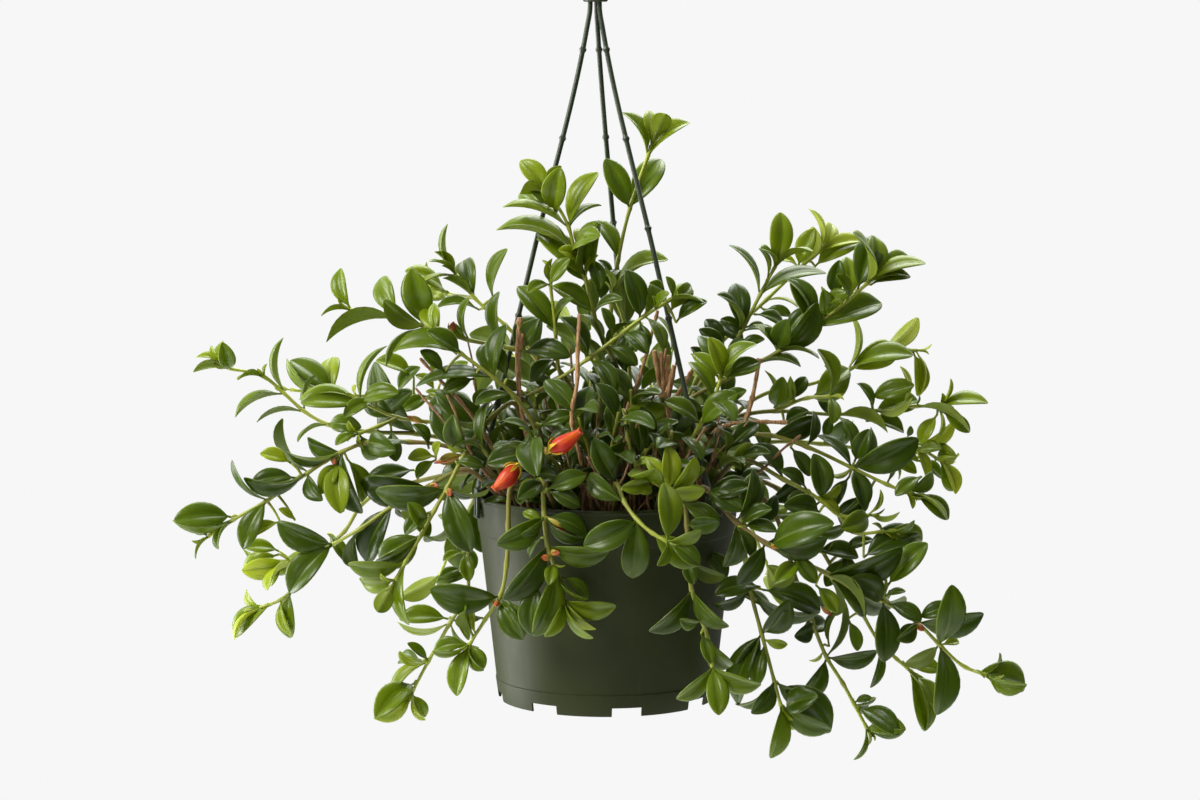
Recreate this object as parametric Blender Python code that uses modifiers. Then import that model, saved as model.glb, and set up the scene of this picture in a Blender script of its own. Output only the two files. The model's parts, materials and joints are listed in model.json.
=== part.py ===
"""Goldfish plant in a plastic hanging basket.

A tapered plastic pot hangs from three plastic strands and a hook. It is filled with soil, and
leafy stems stand in holes in the soil, arch over the rim and trail below it. Two pouched
flowers and some cut woody twigs stand among the leaves.

The object's origin is the seat of the hook, +Z is up and +X is the viewer's right.
Lengths in the layout below are millimetres from the middle of the pot's rim.
"""

import math
import random

import bmesh
import bpy
from mathutils import Matrix, Vector
from mathutils.bvhtree import BVHTree

MM = 0.001
SLIVER = 0.0005
SEED = 41

# The pot
RIM_BELOW_SEAT = 350.0
RIM_RIGHT_OF_SEAT = 6.7
RIM_RADIUS = 80.5
BASE_RADIUS = 66.0
POT_HEIGHT = 125.6
WALL = 1.6
BAND_HEIGHT = 22.5
BAND_STEP = 0.8
SKIRT_HEIGHT = 6.4
FLOOR_THICKNESS = 1.8
POT_SIDES = 36
NOTCH_COUNT = 8
NOTCH_TURN = 10.5
NOTCH_WIDTH = 18.0
NOTCH_HEIGHT = 5.4

# The soil
SOIL_DEPTH_BELOW_RIM = 14.0
SEAT_GAP = 0.3
HOLE_DEPTH = 10.0
HOLE_CLEARANCE = 0.4

# The hanger: strand turns are degrees about the pot, from the viewer's side to the right
STRAND_TURNS = {"left": -72.0, "right": 48.0, "back": 168.0}
STRAND_RADIUS = 1.5
STRAND_FOOT_RADIUS = 82.2
STRAND_FOOT_HEIGHT = 4.0
GATHER_HEIGHT = 289.0
GATHER_RADIUS = 3.4
STRAND_TOP = 303.0
HUB_BOTTOM = 297.0
HUB_TOP = 311.0
HUB_RADIUS = 7.5
HOOK_WIRE_RADIUS = 2.2
HOOK_INSIDE_RADIUS = 11.0
CLIP_WIDTH = 7.0
CLIP_SLOT_HEIGHT = 4.0
CLIP_SLOT_BELOW_RIM = 6.0

# The eye that the drawing below was made from, and its distance from the pot's middle
EYE_ACROSS = -3.96
EYE_AWAY = 2000.0
EYE_UP = 274.0

# Leaves and stems
STEM_ROOT_RADIUS = 1.9
STEM_TIP_RADIUS = 1.15
LEAF_WIDTH_SHARE = 0.42
LEAF_THICKNESS = 1.5
LEAF_SINKS = (1.0, 0.93, 1.06, 0.86, 1.12, 0.8)
LEAF_STALK_LENGTH = 3.0
LEAF_STALK_WIDTH = 1.6
LEAF_BOW = 0.13
BIG_LEAF = 28.0
CLEARANCE = 0.45
LONGEST_STEM_STEP = 32.0
RIM_PASS_RADIUS = 75.5
RIM_PASS_HEIGHT = 6.0

# The drawing of the plant, stem by stem. A stem has the spot of its root in the soil (right,
# forward), then its shoots. A shoot is the number of the joint that it grows from (None at the
# root) and its joints, from the root out. A joint is where it shows on the plane through the
# pot's middle (across, up), how far forward of that plane it is, and its leaves. A leaf is
# where its tip shows (across, up), how far forward the tip leans, and how much of its upper
# side faces the viewer, from 1 (all) through 0 (edge on) to -1 (the underside).
STEMS = {
    "leafy_stem_left_high": ((-14, -6), [
        (None, [(-28, 50, -8, []), (-45, 85, -12, []), (-61, 102, -14, []),
                (-80, 119, -18, [(-99, 131, 8, 0.5), (-86, 142, -22, 0.8)]),
                (-91, 133, -20, [(-96, 164, 0, 0.3), (-107, 141, 14, 0.6), (-119, 122, 8, 0.25)])]),
        (3, [(-95, 121, -36, [(-114, 121, -10, 0.3), (-107, 133, -16, 0.6)])]),
    ]),
    "leafy_stem_left_upper": ((-8, 8), [
        (None, [(-20, 62, 12, []), (-38, 83, 20, []), (-57, 88, 27, [(-41, 107, -14, 0.8)]),
                (-84, 93.5, 28, [(-83, 119, 10, 0.5)]),
                (-109, 101, 25, [(-117, 138, 0, 0.5), (-135, 117, -8, 0.5), (-134, 77, 6, 0.3)]),
                (-127, 107, 20, [(-137, 131, -22, 0.9), (-170, 92, 4, 0.15)]),
                (-145, 108, 18, []),
                (-155, 112, 16, [(-161, 137, -10, 0.8), (-173, 108, 10, 0.5)])]),
    ]),
    "leafy_stem_left_front_upper": ((-30, 30), [
        (None, [(-46, 45, 36, []), (-57, 60, 40, [(-80, 54, 8, 0.5)]),
                (-68, 70, 43, [(-61, 103, -6, 0.5), (-72, 92, -22, 0.9), (-116, 65, 2, 0.2)]),
                (-88, 85, 45, [(-109, 99, 10, 0.8), (-130, 86, -6, 0.3)]),
                (-101, 96, 46, [(-108, 114, -22, 0.9)])]),
    ]),
    "leafy_stem_left_long": ((-48, -16), [
        (None, [(-85, 28, -20, []), (-115, 36, -22, [(-141, 80, -10, 0.7)]),
                (-140, 37, -22, [(-118, 62, -8, 0.4)]),
                (-170, 42, -25, [(-188, 31, 14, 0.5), (-149, 40, 12, 0.9)]),
                (-184, 50, -28, [(-213, 43, 6, 0.2), (-176, 72, -10, 0.2)]),
                (-196, 61, -30, [(-196, 95, -4, 0.1), (-226, 46, 4, 0.2)]),
                (-208, 71, -30, [(-224, 69, 14, 0.4)]),
                (-229, 76, -30, [(-234, 92, -16, 0.7), (-251, 74, 8, 0.3)])]),
    ]),
    "leafy_stem_left_woody": ((-40, 0), [
        (None, [(-75, 36, 2, []), (-105, 43, 4, [(-96, 62, -16, 0.7)]),
                (-127, 46, 6, [(-147, 59, -16, 0.5)]),
                (-150, 56, 5, [(-187, 57, 0, 0.3), (-133, 90, -6, 0.3), (-126, 61, 14, 0.5)])]),
        (2, [(-138, 41, 15, []), (-151, 36, 22, [(-137, 22, -10, 0.9), (-165, 29, 10, 0.6)])]),
    ]),
    "leafy_stem_left_back": ((-40, -40), [
        (None, [(-90, 52, -62, []), (-130, 58, -70, []),
                (-166, 60, -72, [(-194, 82, 0, 0.5), (-166, 83, -22, 0.9)]),
                (-192, 63, -74, [])]),
    ]),
    "leafy_stem_left_low": ((-50, 12), [
        (None, [(-85, 24, 16, []), (-120, 31, 20, [(-141, 22, 18, 0.7)]),
                (-145, 31, 22, [(-128, 26, 22, 0.9)]),
                (-161, 25, 22, [(-195, 25, 2, 0.4), (-182, 33, -16, 0.6), (-149, -13, 6, 0.8),
                                (-160, -12, -12, -0.5)]),
                (-182, 12, 22, [(-197, 46, -4, 0.1), (-173, -5, 18, 0.8), (-221, 9, 6, 0.7)]),
                (-207, -5, 22, [(-228, 20, 12, 0.4), (-222, -35, 4, 0.9)]),
                (-228, -17, 22, [(-265, -17, 0, 0.5), (-237, -35, 16, 0.7)]),
                (-243, -27, 22, [(-254, -14, -12, 0.3), (-251, -41, 10, 0.5)])]),
    ]),
    "leafy_stem_left_lower": ((-56, 28), [
        (None, [(-85, 14, 34, []), (-108, 4, 37, [(-150, 6, -4, 0.8)]),
                (-130, -8, 39, [(-147, -43, -6, 0.7), (-113, -14, -18, 0.5)]),
                (-150, -22, 40, [(-152, -46, -20, -0.6)]),
                (-167, -32, 40, [(-201, -18, 6, 0.9), (-194, -62, 4, 0.9)])]),
    ]),
    "leafy_stem_left_back_low": ((-56, -30), [
        (None, [(-90, 12, -45, []), (-125, 4, -56, []), (-148, -6, -62, []),
                (-160, -24, -64, []),
                (-176, -38, -66, [(-222, -35, 0, 0.5), (-195, -20, -14, 0.6)]),
                (-188, -55, -68, []),
                (-199, -66, -70, [(-193, -88, 6, 0.7)]),
                (-212, -71, -70, [(-228, -91, 8, 0.5), (-220, -60, -12, 0.6)])]),
        (4, [(-192, -44, -56, [(-223, -48, 4, 0.4), (-207, -60, 12, 0.6)])]),
    ]),
    "leafy_stem_front_left": ((-42, 20), [
        (None, [(-52, 42, 26, []), (-56, 55, 32, []), (-70, 46, 44, [(-104, 62, -4, 0.9)]),
                (-85, 26, 54, [(-105, 54, -2, 0.9), (-93, 48, 16, 0.5)]),
                (-97, 3, 62, [(-141, 1, -4, 0.7), (-72, 2, -18, 0.3), (-83, -37, 4, 0.9)]),
                (-105, -11, 65, [(-124, -8, -22, -0.5)]),
                (-113, -26, 68, [(-141, -43, 0, 0.6), (-97, -22, -22, 0.4)]),
                (-123, -43, 71, [(-158, -44, 2, 0.7), (-121, -82, 4, 0.5)]),
                (-129, -54, 72, [(-140, -74, 12, 0.6), (-150, -55, -18, 0.6)])]),
        (1, [(-30, 69, 42, []), (-11, 82, 50, [(-27, 107, 10, 0.4), (4, 61, 14, 0.7)]),
             (10, 98, 54, [(25, 85, 16, 0.9)]),
             (23, 108, 56, [(34, 88, 14, 0.5), (28, 129, -6, 0.6)]),
             (36, 116, 56, [(59, 116, 10, 0.4), (51, 127, -12, 0.4)])]),
    ]),
    "leafy_stem_behind_pot_left": ((-48, -48), [
        (None, [(-74, 4, -62, []), (-84, -30, -66, []), (-85, -62, -66, []),
                (-96, -81, -66, [(-128, -80, 0, 0.2), (-78, -96, 14, 0.5)]),
                (-109, -104, -66, [(-127, -98, 16, 0.6), (-131, -129, 0, 0.3)]),
                (-119, -123, -66, [(-143, -140, 4, 0.7), (-111, -141, 12, 0.6)])]),
    ]),
    "leafy_stem_pot_left": ((-44, 50), [
        (None, [(-58, 3, 72, []), (-60, -20, 76, []), (-61, -44, 76, []),
                (-65, -64, 75, [(-108, -60, 4, 0.9), (-51, -91, 10, 0.9)]),
                (-74, -78, 74, [(-88, -70, -14, 0.5)]),
                (-84, -94, 74, [(-107, -98, 10, 0.6), (-92, -126, 6, 0.9), (-75, -110, 12, 0.6)])]),
    ]),
    "leafy_stem_pot_front_left": ((-28, 58), [
        (None, [(-38, 6, 76, [(-54, -4, 16, 0.8)]),
                (-38, -14, 86, [(-67, -32, 10, 0.9), (-14, -29, 10, 0.4), (-52, -26, 14, 0.6)]),
                (-36, -33, 89, [(-63, -66, 4, 0.8), (2, -36, 4, 0.8)]),
                (-31, -48, 90, [(-11, -66, 12, 0.6), (-44, -89, -4, 0.9)]),
                (-26, -66, 90, [(6, -70, 4, 0.8), (-38, -89, 12, 0.8), (-8, -90, 14, 0.7)])]),
    ]),
    "leafy_stem_front_centre": ((4, 60), [
        (None, [(6, 6, 78, [(-8, 33, 6, 0.9)]),
                (11, -6, 90, [(-11, 11, -14, 0.8)]),
                (19, -17, 100, [(-14, -33, 4, 1.0), (16, -53, -4, 0.9)]),
                (28, -25, 106, [(57, -44, -8, 0.8)]),
                (37, -30, 110, [(35, 6, -2, 0.7), (58, -23, 10, 0.6), (31, -45, 14, 0.6)])]),
    ]),
    "leafy_stem_front_bright": ((8, 22), [
        (None, [(6, 40, 34, []), (10, 50, 40, [(38, 51, 8, 0.8)]), (13, 32, 56, [(-4, 22, 10, 0.6)]),
                (18, 17, 70, [(30, 15, 20, 0.5)]),
                (28, 7, 82, [(9, 3, 12, 0.7)]),
                (38, 1, 90, [(37, 29, 4, 0.7), (54, 22, 10, 0.5), (60, 2, 12, 0.6),
                             (24, 22, 0, 0.5)])]),
    ]),
    "leafy_stem_pot_front_right": ((40, 56), [
        (None, [(46, 4, 76, []), (49, -20, 86, [(69, -18, 14, 0.9)]),
                (50, -42, 88, [(73, -52, -8, -0.7)]),
                (52, -60, 88, [(26, -86, 4, 0.8), (75, -83, 6, 0.8)]),
                (58, -78, 87, [(45, -78, 16, 0.5)]),
                (62, -90, 86, [(76, -108, -14, 0.7)]),
                (65, -108, 85, [(43, -128, 2, 0.8), (95, -119, 2, 0.8), (69, -138, 14, 0.9)])]),
    ]),
    "leafy_stem_right_cascade": ((56, 40), [
        (None, [(61, 2, 66, [(85, 5, -12, 0.5), (84, -11, 16, 0.8)]),
                (79, -18, 68, [(89, 15, 4, 0.3), (72, -46, -8, 0.6)]),
                (97, -31, 68, [(119, -16, -12, 0.6), (135, -28, 4, 0.7), (80, -57, 4, 0.9)]),
                (116, -41, 67, [(116, -12, 10, 0.4), (101, -58, 10, -0.8)]),
                (135, -50, 66, [(139, -76, -14, -0.4), (158, -77, 8, 0.6), (181, -34, 4, 0.8)]),
                (152, -60, 64, [(182, -64, -12, -0.5)]),
                (169, -67, 62, [(170, -105, 6, 0.9), (150, -52, 18, 0.5)]),
                (190, -80, 60, [(231, -75, 0, 0.8), (178, -91, 18, 0.7)]),
                (204, -94, 58, [(211, -57, 2, 0.8), (203, -138, 4, 0.8), (183, -106, -10, -0.6)]),
                (220, -108, 57, []),
                (233, -113, 57, [(258, -119, 8, 0.8), (241, -99, -10, 0.4)])]),
    ]),
    "leafy_stem_right_drooping": ((64, 26), [
        (None, [(80, 4, 42, []), (84, -22, 46, [(104, -2, -10, 0.8)]), (85, -42, 46, []),
                (88, -60, 46, [(65, -69, -10, 0.7), (131, -74, 2, 0.5)]),
                (95, -87, 46, [(80, -108, -6, 0.8), (112, -66, 6, 0.8)]),
                (103, -117, 46, [(89, -137, 12, 0.9), (131, -128, -6, 0.7), (79, -131, -12, 0.6)]),
                (107, -132, 46, [(138, -147, 2, 0.8), (101, -165, 4, 0.8)])]),
    ]),
    "leafy_stem_right_hanging": ((70, 8), [
        (None, [(98, -6, 20, [(118, 8, -14, 0.8)]), (110, -34, 22, []),
                (117, -57, 22, [(142, -66, 14, 0.6)]),
                (126, -80, 22, [(115, -89, 22, 0.8)]),
                (135, -102, 22, [(166, -98, 4, 0.8), (120, -127, -4, 0.8), (143, -62, -4, 0.2)]),
                (145, -118, 22, []),
                (152, -131, 22, [(162, -127, -24, 0.5)]),
                (160, -146, 22, [(183, -148, 6, 0.7), (152, -166, 6, 0.6), (178, -143, -16, 0.6)])]),
    ]),
    "leafy_stem_right_outer": ((70, -8), [
        (None, [(105, 2, -6, []), (125, -24, -6, [(147, -20, -10, 0.6)]),
                (140, -50, -4, [(160, -44, -14, 0.5)]),
                (156, -74, -2, [(173, -60, -14, 0.4)]),
                (167, -92, 0, [(162, -121, 4, 0.5)]),
                (178, -103, 0, []),
                (185, -109, 0, [(196, -148, 4, 0.4), (191, -131, -14, 0.4)])]),
    ]),
    "leafy_stem_right_middle": ((50, 18), [
        (None, [(78, 34, 26, []), (100, 35, 30, [(127, 45, -12, 0.7)]),
                (122, 28, 32, [(126, 50, -14, 0.6)]),
                (150, 15, 34, [(190, 33, 6, 0.9), (157, -10, 16, 0.9), (128, 35, -8, 0.6),
                               (161, 40, -14, 0.6)]),
                (171, 5, 35, [(172, 24, 4, 0.2)]),
                (183, 0, 35, [(199, 12, -12, 0.7), (208, -17, 6, 0.6)])]),
    ]),
    "leafy_stem_right_level": ((42, -4), [
        (None, [(62, 38, -6, []), (85, 48, -8, [(96, 25, 14, 0.8)]),
                (103, 50, -8, [(112, 71, 12, -0.5), (96, 75, -6, 0.2)]),
                (140, 48, -10, [(171, 37, 6, 0.4), (150, 26, 14, 0.7)]),
                (162, 50, -10, [(186, 58, 8, 0.5), (152, 67, -10, 0.2)]),
                (188, 53, -10, [(221, 37, 4, 0.4)]),
                (202, 53, -10, [(232, 55, 4, 0.6), (201, 34, 8, 0.2)])]),
        (2, [(122, 58, 2, [(148, 71, -8, -0.6)]),
             (136, 59, 8, [(128, 88, 4, 0.2), (137, 42, 16, 0.8)])]),
    ]),
    "leafy_stem_right_back_upper": ((52, -36), [
        (None, [(85, 54, -50, []), (118, 65, -56, []),
                (147, 75, -58, [(147, 111, -4, 0.2), (176, 88, -10, 0.5)]),
                (168, 87, -58, [(189, 107, -4, -0.8)]),
                (188, 87, -58, [(190, 59, 6, 0.3)])]),
    ]),
    "leafy_stem_right_back_middle": ((62, -26), [
        (None, [(95, 30, -46, []), (130, 30, -58, [(150, 44, -10, 0.6)]), (160, 27, -62, []),
                (186, 29, -64, [(212, 45, 0, 0.6), (195, 9, 6, 0.7)]),
                (203, 20, -64, [(213, -1, 4, 0.8), (214, 24, 12, 0.3)])]),
    ]),
    "leafy_stem_right_high": ((30, 4), [
        (None, [(45, 52, 8, []), (72, 69, 10, [(56, 96, -10, 0.8)]), (91, 79, 12, [(118, 77, 8, 0.4)]),
                (104, 86, 13, [(129, 82, 14, 0.3), (89, 103, -16, 0.5), (128, 116, -8, 0.8)]),
                (125, 101, 13, [(108, 131, 2, 0.3), (130, 126, -10, -0.4), (167, 116, 0, 0.3)]),
                (146, 117, 13, [(145, 144, -10, 0.9), (139, 133, 14, 0.6)]),
                (158, 128, 13, [(161, 157, -12, 0.7), (149, 158, 6, 0.15), (193, 140, -4, 0.4),
                                (184, 132, 12, 0.4)])]),
    ]),
    "leafy_stem_right_upright": ((36, -14), [
        (None, [(52, 58, -12, []), (72, 83, -14, [(56, 100, 8, 0.8), (86, 92, 14, 0.8)]),
                (82, 99, -14, [(78, 128, -8, 0.9), (67, 121, 8, 0.3), (104, 96, 8, 0.4)]),
                (93, 121, -14, [(74, 151, 2, 0.2), (133, 134, -4, 0.3)]),
                (102, 138, -14, [(105, 171, -4, 0.9), (93, 149, 16, 0.2), (125, 147, 12, 0.3)])]),
    ]),
    "leafy_stem_right_back_high": ((34, -44), [
        (None, [(55, 70, -56, []), (78, 100, -62, []), (97, 118, -64, [(116, 113, 10, 0.4)]),
                (117, 137, -66, [(125, 162, -6, -0.7), (101, 142, 8, 0.4)]),
                (130, 148, -66, [(156, 153, -4, 0.5), (122, 173, 2, 0.2), (136, 164, -16, 0.6)])]),
    ]),
    "leafy_stem_front_right_bright": ((42, 40), [
        (None, [(50, 28, 48, []), (57, 42, 54, [(35, 56, 8, 0.5), (80, 61, 6, 0.8)]),
                (65, 56, 57, [(50, 80, -8, 0.4), (78, 44, 14, 0.6)]),
                (69, 69, 58, [(91, 91, 6, 0.6), (62, 95, 6, 0.8), (92, 79, -14, 0.6)])]),
    ]),
    "leafy_stem_centre_tall": ((4, -16), [
        (None, [(4, 50, -18, []), (3, 85, -17, [(22, 104, -10, 0.6)]), (3, 115, -16, []),
                (7, 142, -14, [(-6, 166, -8, 0.4)]),
                (14, 173, -9, [(-1, 203, 4, 0.9), (33, 203, -6, 0.4)]),
                (25, 205, -6, [(9, 231, 0, 0.3), (50, 225, -4, 0.3)]),
                (27, 211, -6, [(36, 230, 8, -0.8), (26, 232, -12, 0.8)])]),
    ]),
    "leafy_stem_centre_left_tall": ((10, 8), [
        (None, [(12, 45, 8, []), (9, 70, 12, [(-9, 76, 16, 0.9)]), (0, 90, 15, [(19, 78, 8, 0.9)]),
                (-8, 110, 18, [(-33, 126, 4, 0.8), (10, 118, 12, 0.5)]),
                (-13, 131, 20, [(-42, 158, 2, 0.6), (-6, 165, 4, 0.6)]),
                (-19, 147, 22, [(-67, 160, -2, 0.2), (-4, 156, 16, 0.6)]),
                (-23, 162, 23, [(-63, 174, 2, 0.2), (-5, 195, 0, 0.5), (-3, 175, -10, 0.2)]),
                (-34, 182, 24, [(-52, 202, -4, 0.9), (-28, 199, 8, -0.7), (-52, 183, 12, -0.8)])]),
    ]),
    "leafy_stem_centre_left": ((-18, 12), [
        (None, [(-24, 55, 16, []), (-30, 82, 18, [(-46, 68, 8, 0.8)]),
                (-31, 99, 19, [(-54, 126, 0, 0.7), (-20, 119, 8, 0.5)]),
                (-34, 127, 20, [(-20, 144, -10, 0.6), (-48, 122, 14, 0.7)])]),
    ]),
    "leafy_stem_centre_short": ((16, -12), [
        (None, [(14, 70, -8, []), (12, 100, -2, [(12, 137, 4, 0.7)]),
                (4, 122, 2, [(-6, 138, 12, 0.6), (37, 142, 0, 0.2)])]),
    ]),
    "leafy_stem_right_shaded": ((54, 30), [
        (None, [(80, 20, 36, [(100, 24, 12, 0.8)]), (108, 8, 40, [(90, 30, -6, 0.8)]),
                (131, -5, 42, [(126, 24, 6, 0.9), (104, -14, -6, 0.8)]),
                (142, -14, 42, [(160, 1, -18, 0.6)]),
                (160, -14, 42, [(143, -22, 22, 0.9), (167, 2, 0, 0.2), (179, -12, 4, 0.6)])]),
        (3, [(150, -24, 44, []), (169, -24, 44, [(188, -17, 6, 0.7), (193, -29, -16, 0.9)])]),
    ]),
    "leafy_stem_front_inner_left": ((-20, 40), [
        (None, [(-28, 14, 52, []), (-36, 24, 62, [(-73, 18, 0, 0.8), (-22, 38, 10, 0.8)]),
                (-44, 34, 64, [(-62, 44, 10, 0.6), (-42, 10, 14, 0.8)])]),
    ]),
    "leafy_stem_front_inner_right": ((26, 40), [
        (None, [(24, 12, 48, []), (24, 26, 54, [(21, 53, 6, 0.9), (44, 44, 2, 0.6)]),
                (42, 34, 50, [(58, 20, 4, 0.7), (60, 36, -6, 0.5)])]),
    ]),
}

# Stems of the far side, by rule: the spot of the root (right, forward), the turn that the stem
# takes (degrees, 0 towards the viewer), how far out it reaches and how high its tip is
FAR_STEMS = {
    "leafy_stem_far_1": ((-30, -56), -152, 178, 66),
    "leafy_stem_far_2": ((-22, -38), -162, 196, 8),
    "leafy_stem_far_3": ((-14, -62), -171, 128, -96),
    "leafy_stem_far_4": ((-6, -40), -176, 150, 92),
    "leafy_stem_far_5": ((2, -60), 178, 206, -38),
    "leafy_stem_far_6": ((14, -34), 172, 186, 44),
    "leafy_stem_far_7": ((16, -60), 167, 142, -100),
    "leafy_stem_far_8": ((24, -58), 158, 212, -8),
    "leafy_stem_far_9": ((40, -54), 147, 176, -66),
    "leafy_stem_far_10": ((-42, -26), -140, 160, -70),
}
FAR_JOINT_STEP = 40.0
FAR_LEAF_LENGTH = 38.0
FAR_LEAF_SPREAD = 58.0
FAR_TRIES = 16

# Cut woody twigs: their thickness and the points that they pass, root first
TWIGS = {
    "cut_twig_left": (1.9, [[(-53, 62, 34), (-52.5, 107, 34)],
                            [(-52.8, 88, 34), (-49.5, 104, 33)]], (-38, 34)),
    "cut_twig_centre": (1.5, [[(-21, 50, 60), (-18, 66, 60), (-17.5, 86, 60), (-16.5, 109, 60)]],
                        (-8, 48)),
    "cut_twig_crown": (1.8, [[(34, 45, 30), (33, 86, 30)], [(34, 50, 30), (37.5, 84, 28)],
                             [(34, 47, 30), (41, 78, 32)], [(34, 55, 30), (29, 87, 31)]], (24, 26)),
    "cut_twig_right": (1.7, [[(40, 54, 22), (47, 66, 22), (54, 78, 22)]], (34, 18)),
    "dead_stem_right": (1.6, [[(62, 33, 20), (72, 41, 20), (84, 43, 20), (110, 43, 20)],
                              [(84, 43, 20), (87, 52, 20), (93, 82, 20)]], (52, 8)),
}

# Flowers: the stem and the joint that the stalk starts beside, a point that the stalk passes,
# the base of the pouch and its mouth
FLOWERS = {
    "flower_upper": ("leafy_stem_front_inner_left", 1, (-37, 27, 77), (-34, 26, 84),
                     (-15.5, 38, 88)),
    "flower_lower": ("leafy_stem_front_inner_left", 2, (-48, 26, 73), (-54, 16.5, 79),
                     (-69, 2, 84)),
}
POUCH_BELLY = 5.2
POUCH_SAG = 1.2
STALK_RADIUS = 0.8
CALYX_LOBES = 5


def sight(across, up, forward):
    """The point that shows at (across, up) on the pot's middle plane, forward of that plane."""
    nearer = (EYE_AWAY - forward) / EYE_AWAY
    return Vector((EYE_ACROSS + (across - EYE_ACROSS) * nearer, -forward,
                   EYE_UP + (up - EYE_UP) * nearer))


def world(point):
    """A layout point in the object's own frame, in metres."""
    return Vector((point[0] + RIM_RIGHT_OF_SEAT, point[1], point[2] - RIM_BELOW_SEAT)) * MM


def turned(turn, radius, height):
    """The layout point at a turn about the pot, a radius from its axis and a height."""
    angle = math.radians(turn)
    return Vector((radius * math.sin(angle), -radius * math.cos(angle), height))


def outer_radius(height):
    """The pot's outer radius below the band, at a height (zero at the rim, falling)."""
    taper = (RIM_RADIUS - BAND_STEP - BASE_RADIUS) / POT_HEIGHT
    return RIM_RADIUS - BAND_STEP + taper * height


def inner_radius(height):
    """The pot's inner radius at a height."""
    return outer_radius(height) - WALL


# Building blocks


def clear_scene():
    """Remove what a new file starts with."""
    for thing in list(bpy.data.objects):
        bpy.data.objects.remove(thing)


def finish_object(thing, material):
    """Give an object its material and shade its round sides smooth."""
    thing.data.materials.clear()
    thing.data.materials.append(material)
    thing.data.shade_smooth()
    thing.data.set_sharp_from_angle(angle=math.radians(40))
    return thing


def plastic_or_plant(name, colour, roughness, metallic=0.0):
    """A Principled material."""
    material = bpy.data.materials.new(name)
    material.use_nodes = True
    shader = material.node_tree.nodes["Principled BSDF"]
    shader.inputs["Base Color"].default_value = (*colour, 1.0)
    shader.inputs["Roughness"].default_value = roughness
    shader.inputs["Metallic"].default_value = metallic
    return material


def new_object(name, mesh, group):
    """An object in a collection."""
    thing = bpy.data.objects.new(name, mesh)
    group.objects.link(thing)
    return thing


def as_mesh(thing, name):
    """The evaluated mesh of an object, its caps welded."""
    graph = bpy.context.evaluated_depsgraph_get()
    mesh = bpy.data.meshes.new_from_object(thing.evaluated_get(graph))
    mesh.name = name
    shape = bmesh.new()
    shape.from_mesh(mesh)
    bmesh.ops.remove_doubles(shape, verts=shape.verts, dist=0.00001)
    shape.to_mesh(mesh)
    shape.free()
    return mesh


def tube(name, points, radii, group, resolution=0):
    """A tube through layout points, made as a curve and turned into a mesh."""
    curve = bpy.data.curves.new(name + "_path", "CURVE")
    curve.dimensions = "3D"
    curve.bevel_depth = MM
    curve.bevel_resolution = resolution
    curve.use_fill_caps = True
    spline = curve.splines.new("POLY")
    spline.points.add(len(points) - 1)
    for spot, point, radius in zip(spline.points, points, radii):
        spot.co = (*world(point), 1.0)
        spot.radius = radius
    path = new_object(name + "_path", curve, group)
    thing = new_object(name, as_mesh(path, name), group)
    bpy.data.objects.remove(path)
    bpy.data.curves.remove(curve)
    return thing


def block(name, centre, size, turn, group):
    """A box with its sides along, across and up from a turn about the pot."""
    shape = bmesh.new()
    bmesh.ops.create_cube(shape, size=1.0)
    bmesh.ops.scale(shape, vec=Vector(size) * MM, verts=shape.verts)
    bmesh.ops.rotate(shape, matrix=Matrix.Rotation(math.radians(turn - 90.0), 3, "Z"),
                     verts=shape.verts)
    bmesh.ops.translate(shape, vec=world(centre), verts=shape.verts)
    return from_shape(name, shape, group)


def rod(name, centre, radii, height, sides, group):
    """An upright cylinder or cone."""
    shape = bmesh.new()
    bmesh.ops.create_cone(shape, cap_ends=True, segments=sides, radius1=radii[0] * MM,
                          radius2=radii[1] * MM, depth=height * MM)
    bmesh.ops.translate(shape, vec=world(centre), verts=shape.verts)
    return from_shape(name, shape, group)


def from_shape(name, shape, group):
    """An object from a bmesh."""
    bmesh.ops.recalc_face_normals(shape, faces=shape.faces)
    if shape.calc_volume(signed=True) < 0.0:
        bmesh.ops.reverse_faces(shape, faces=shape.faces)
    mesh = bpy.data.meshes.new(name)
    shape.to_mesh(mesh)
    shape.free()
    return new_object(name, mesh, group)


def keep_largest_body(mesh):
    """A mesh without the loose scraps that a Boolean can leave."""
    shape = bmesh.new()
    shape.from_mesh(mesh)
    unseen = set(shape.verts)
    bodies = []
    while unseen:
        body = set()
        edge_of_body = {unseen.pop()}
        while edge_of_body:
            vert = edge_of_body.pop()
            body.add(vert)
            near = {edge.other_vert(vert) for edge in vert.link_edges}
            edge_of_body |= near & unseen
            unseen -= near
        bodies.append(body)
    largest = max(bodies, key=len)
    scraps = [vert for body in bodies if body is not largest for vert in body]
    bmesh.ops.delete(shape, geom=scraps, context="VERTS")
    shape.to_mesh(mesh)
    shape.free()
    return mesh


def is_clean(mesh):
    """Whether a fused mesh stays closed when points that all but touch are merged."""
    shape = bmesh.new()
    shape.from_mesh(mesh)
    bmesh.ops.remove_doubles(shape, verts=shape.verts, dist=SLIVER * MM)
    clean = all(len(edge.link_faces) == 2 for edge in shape.edges)
    shape.free()
    return clean


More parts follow.
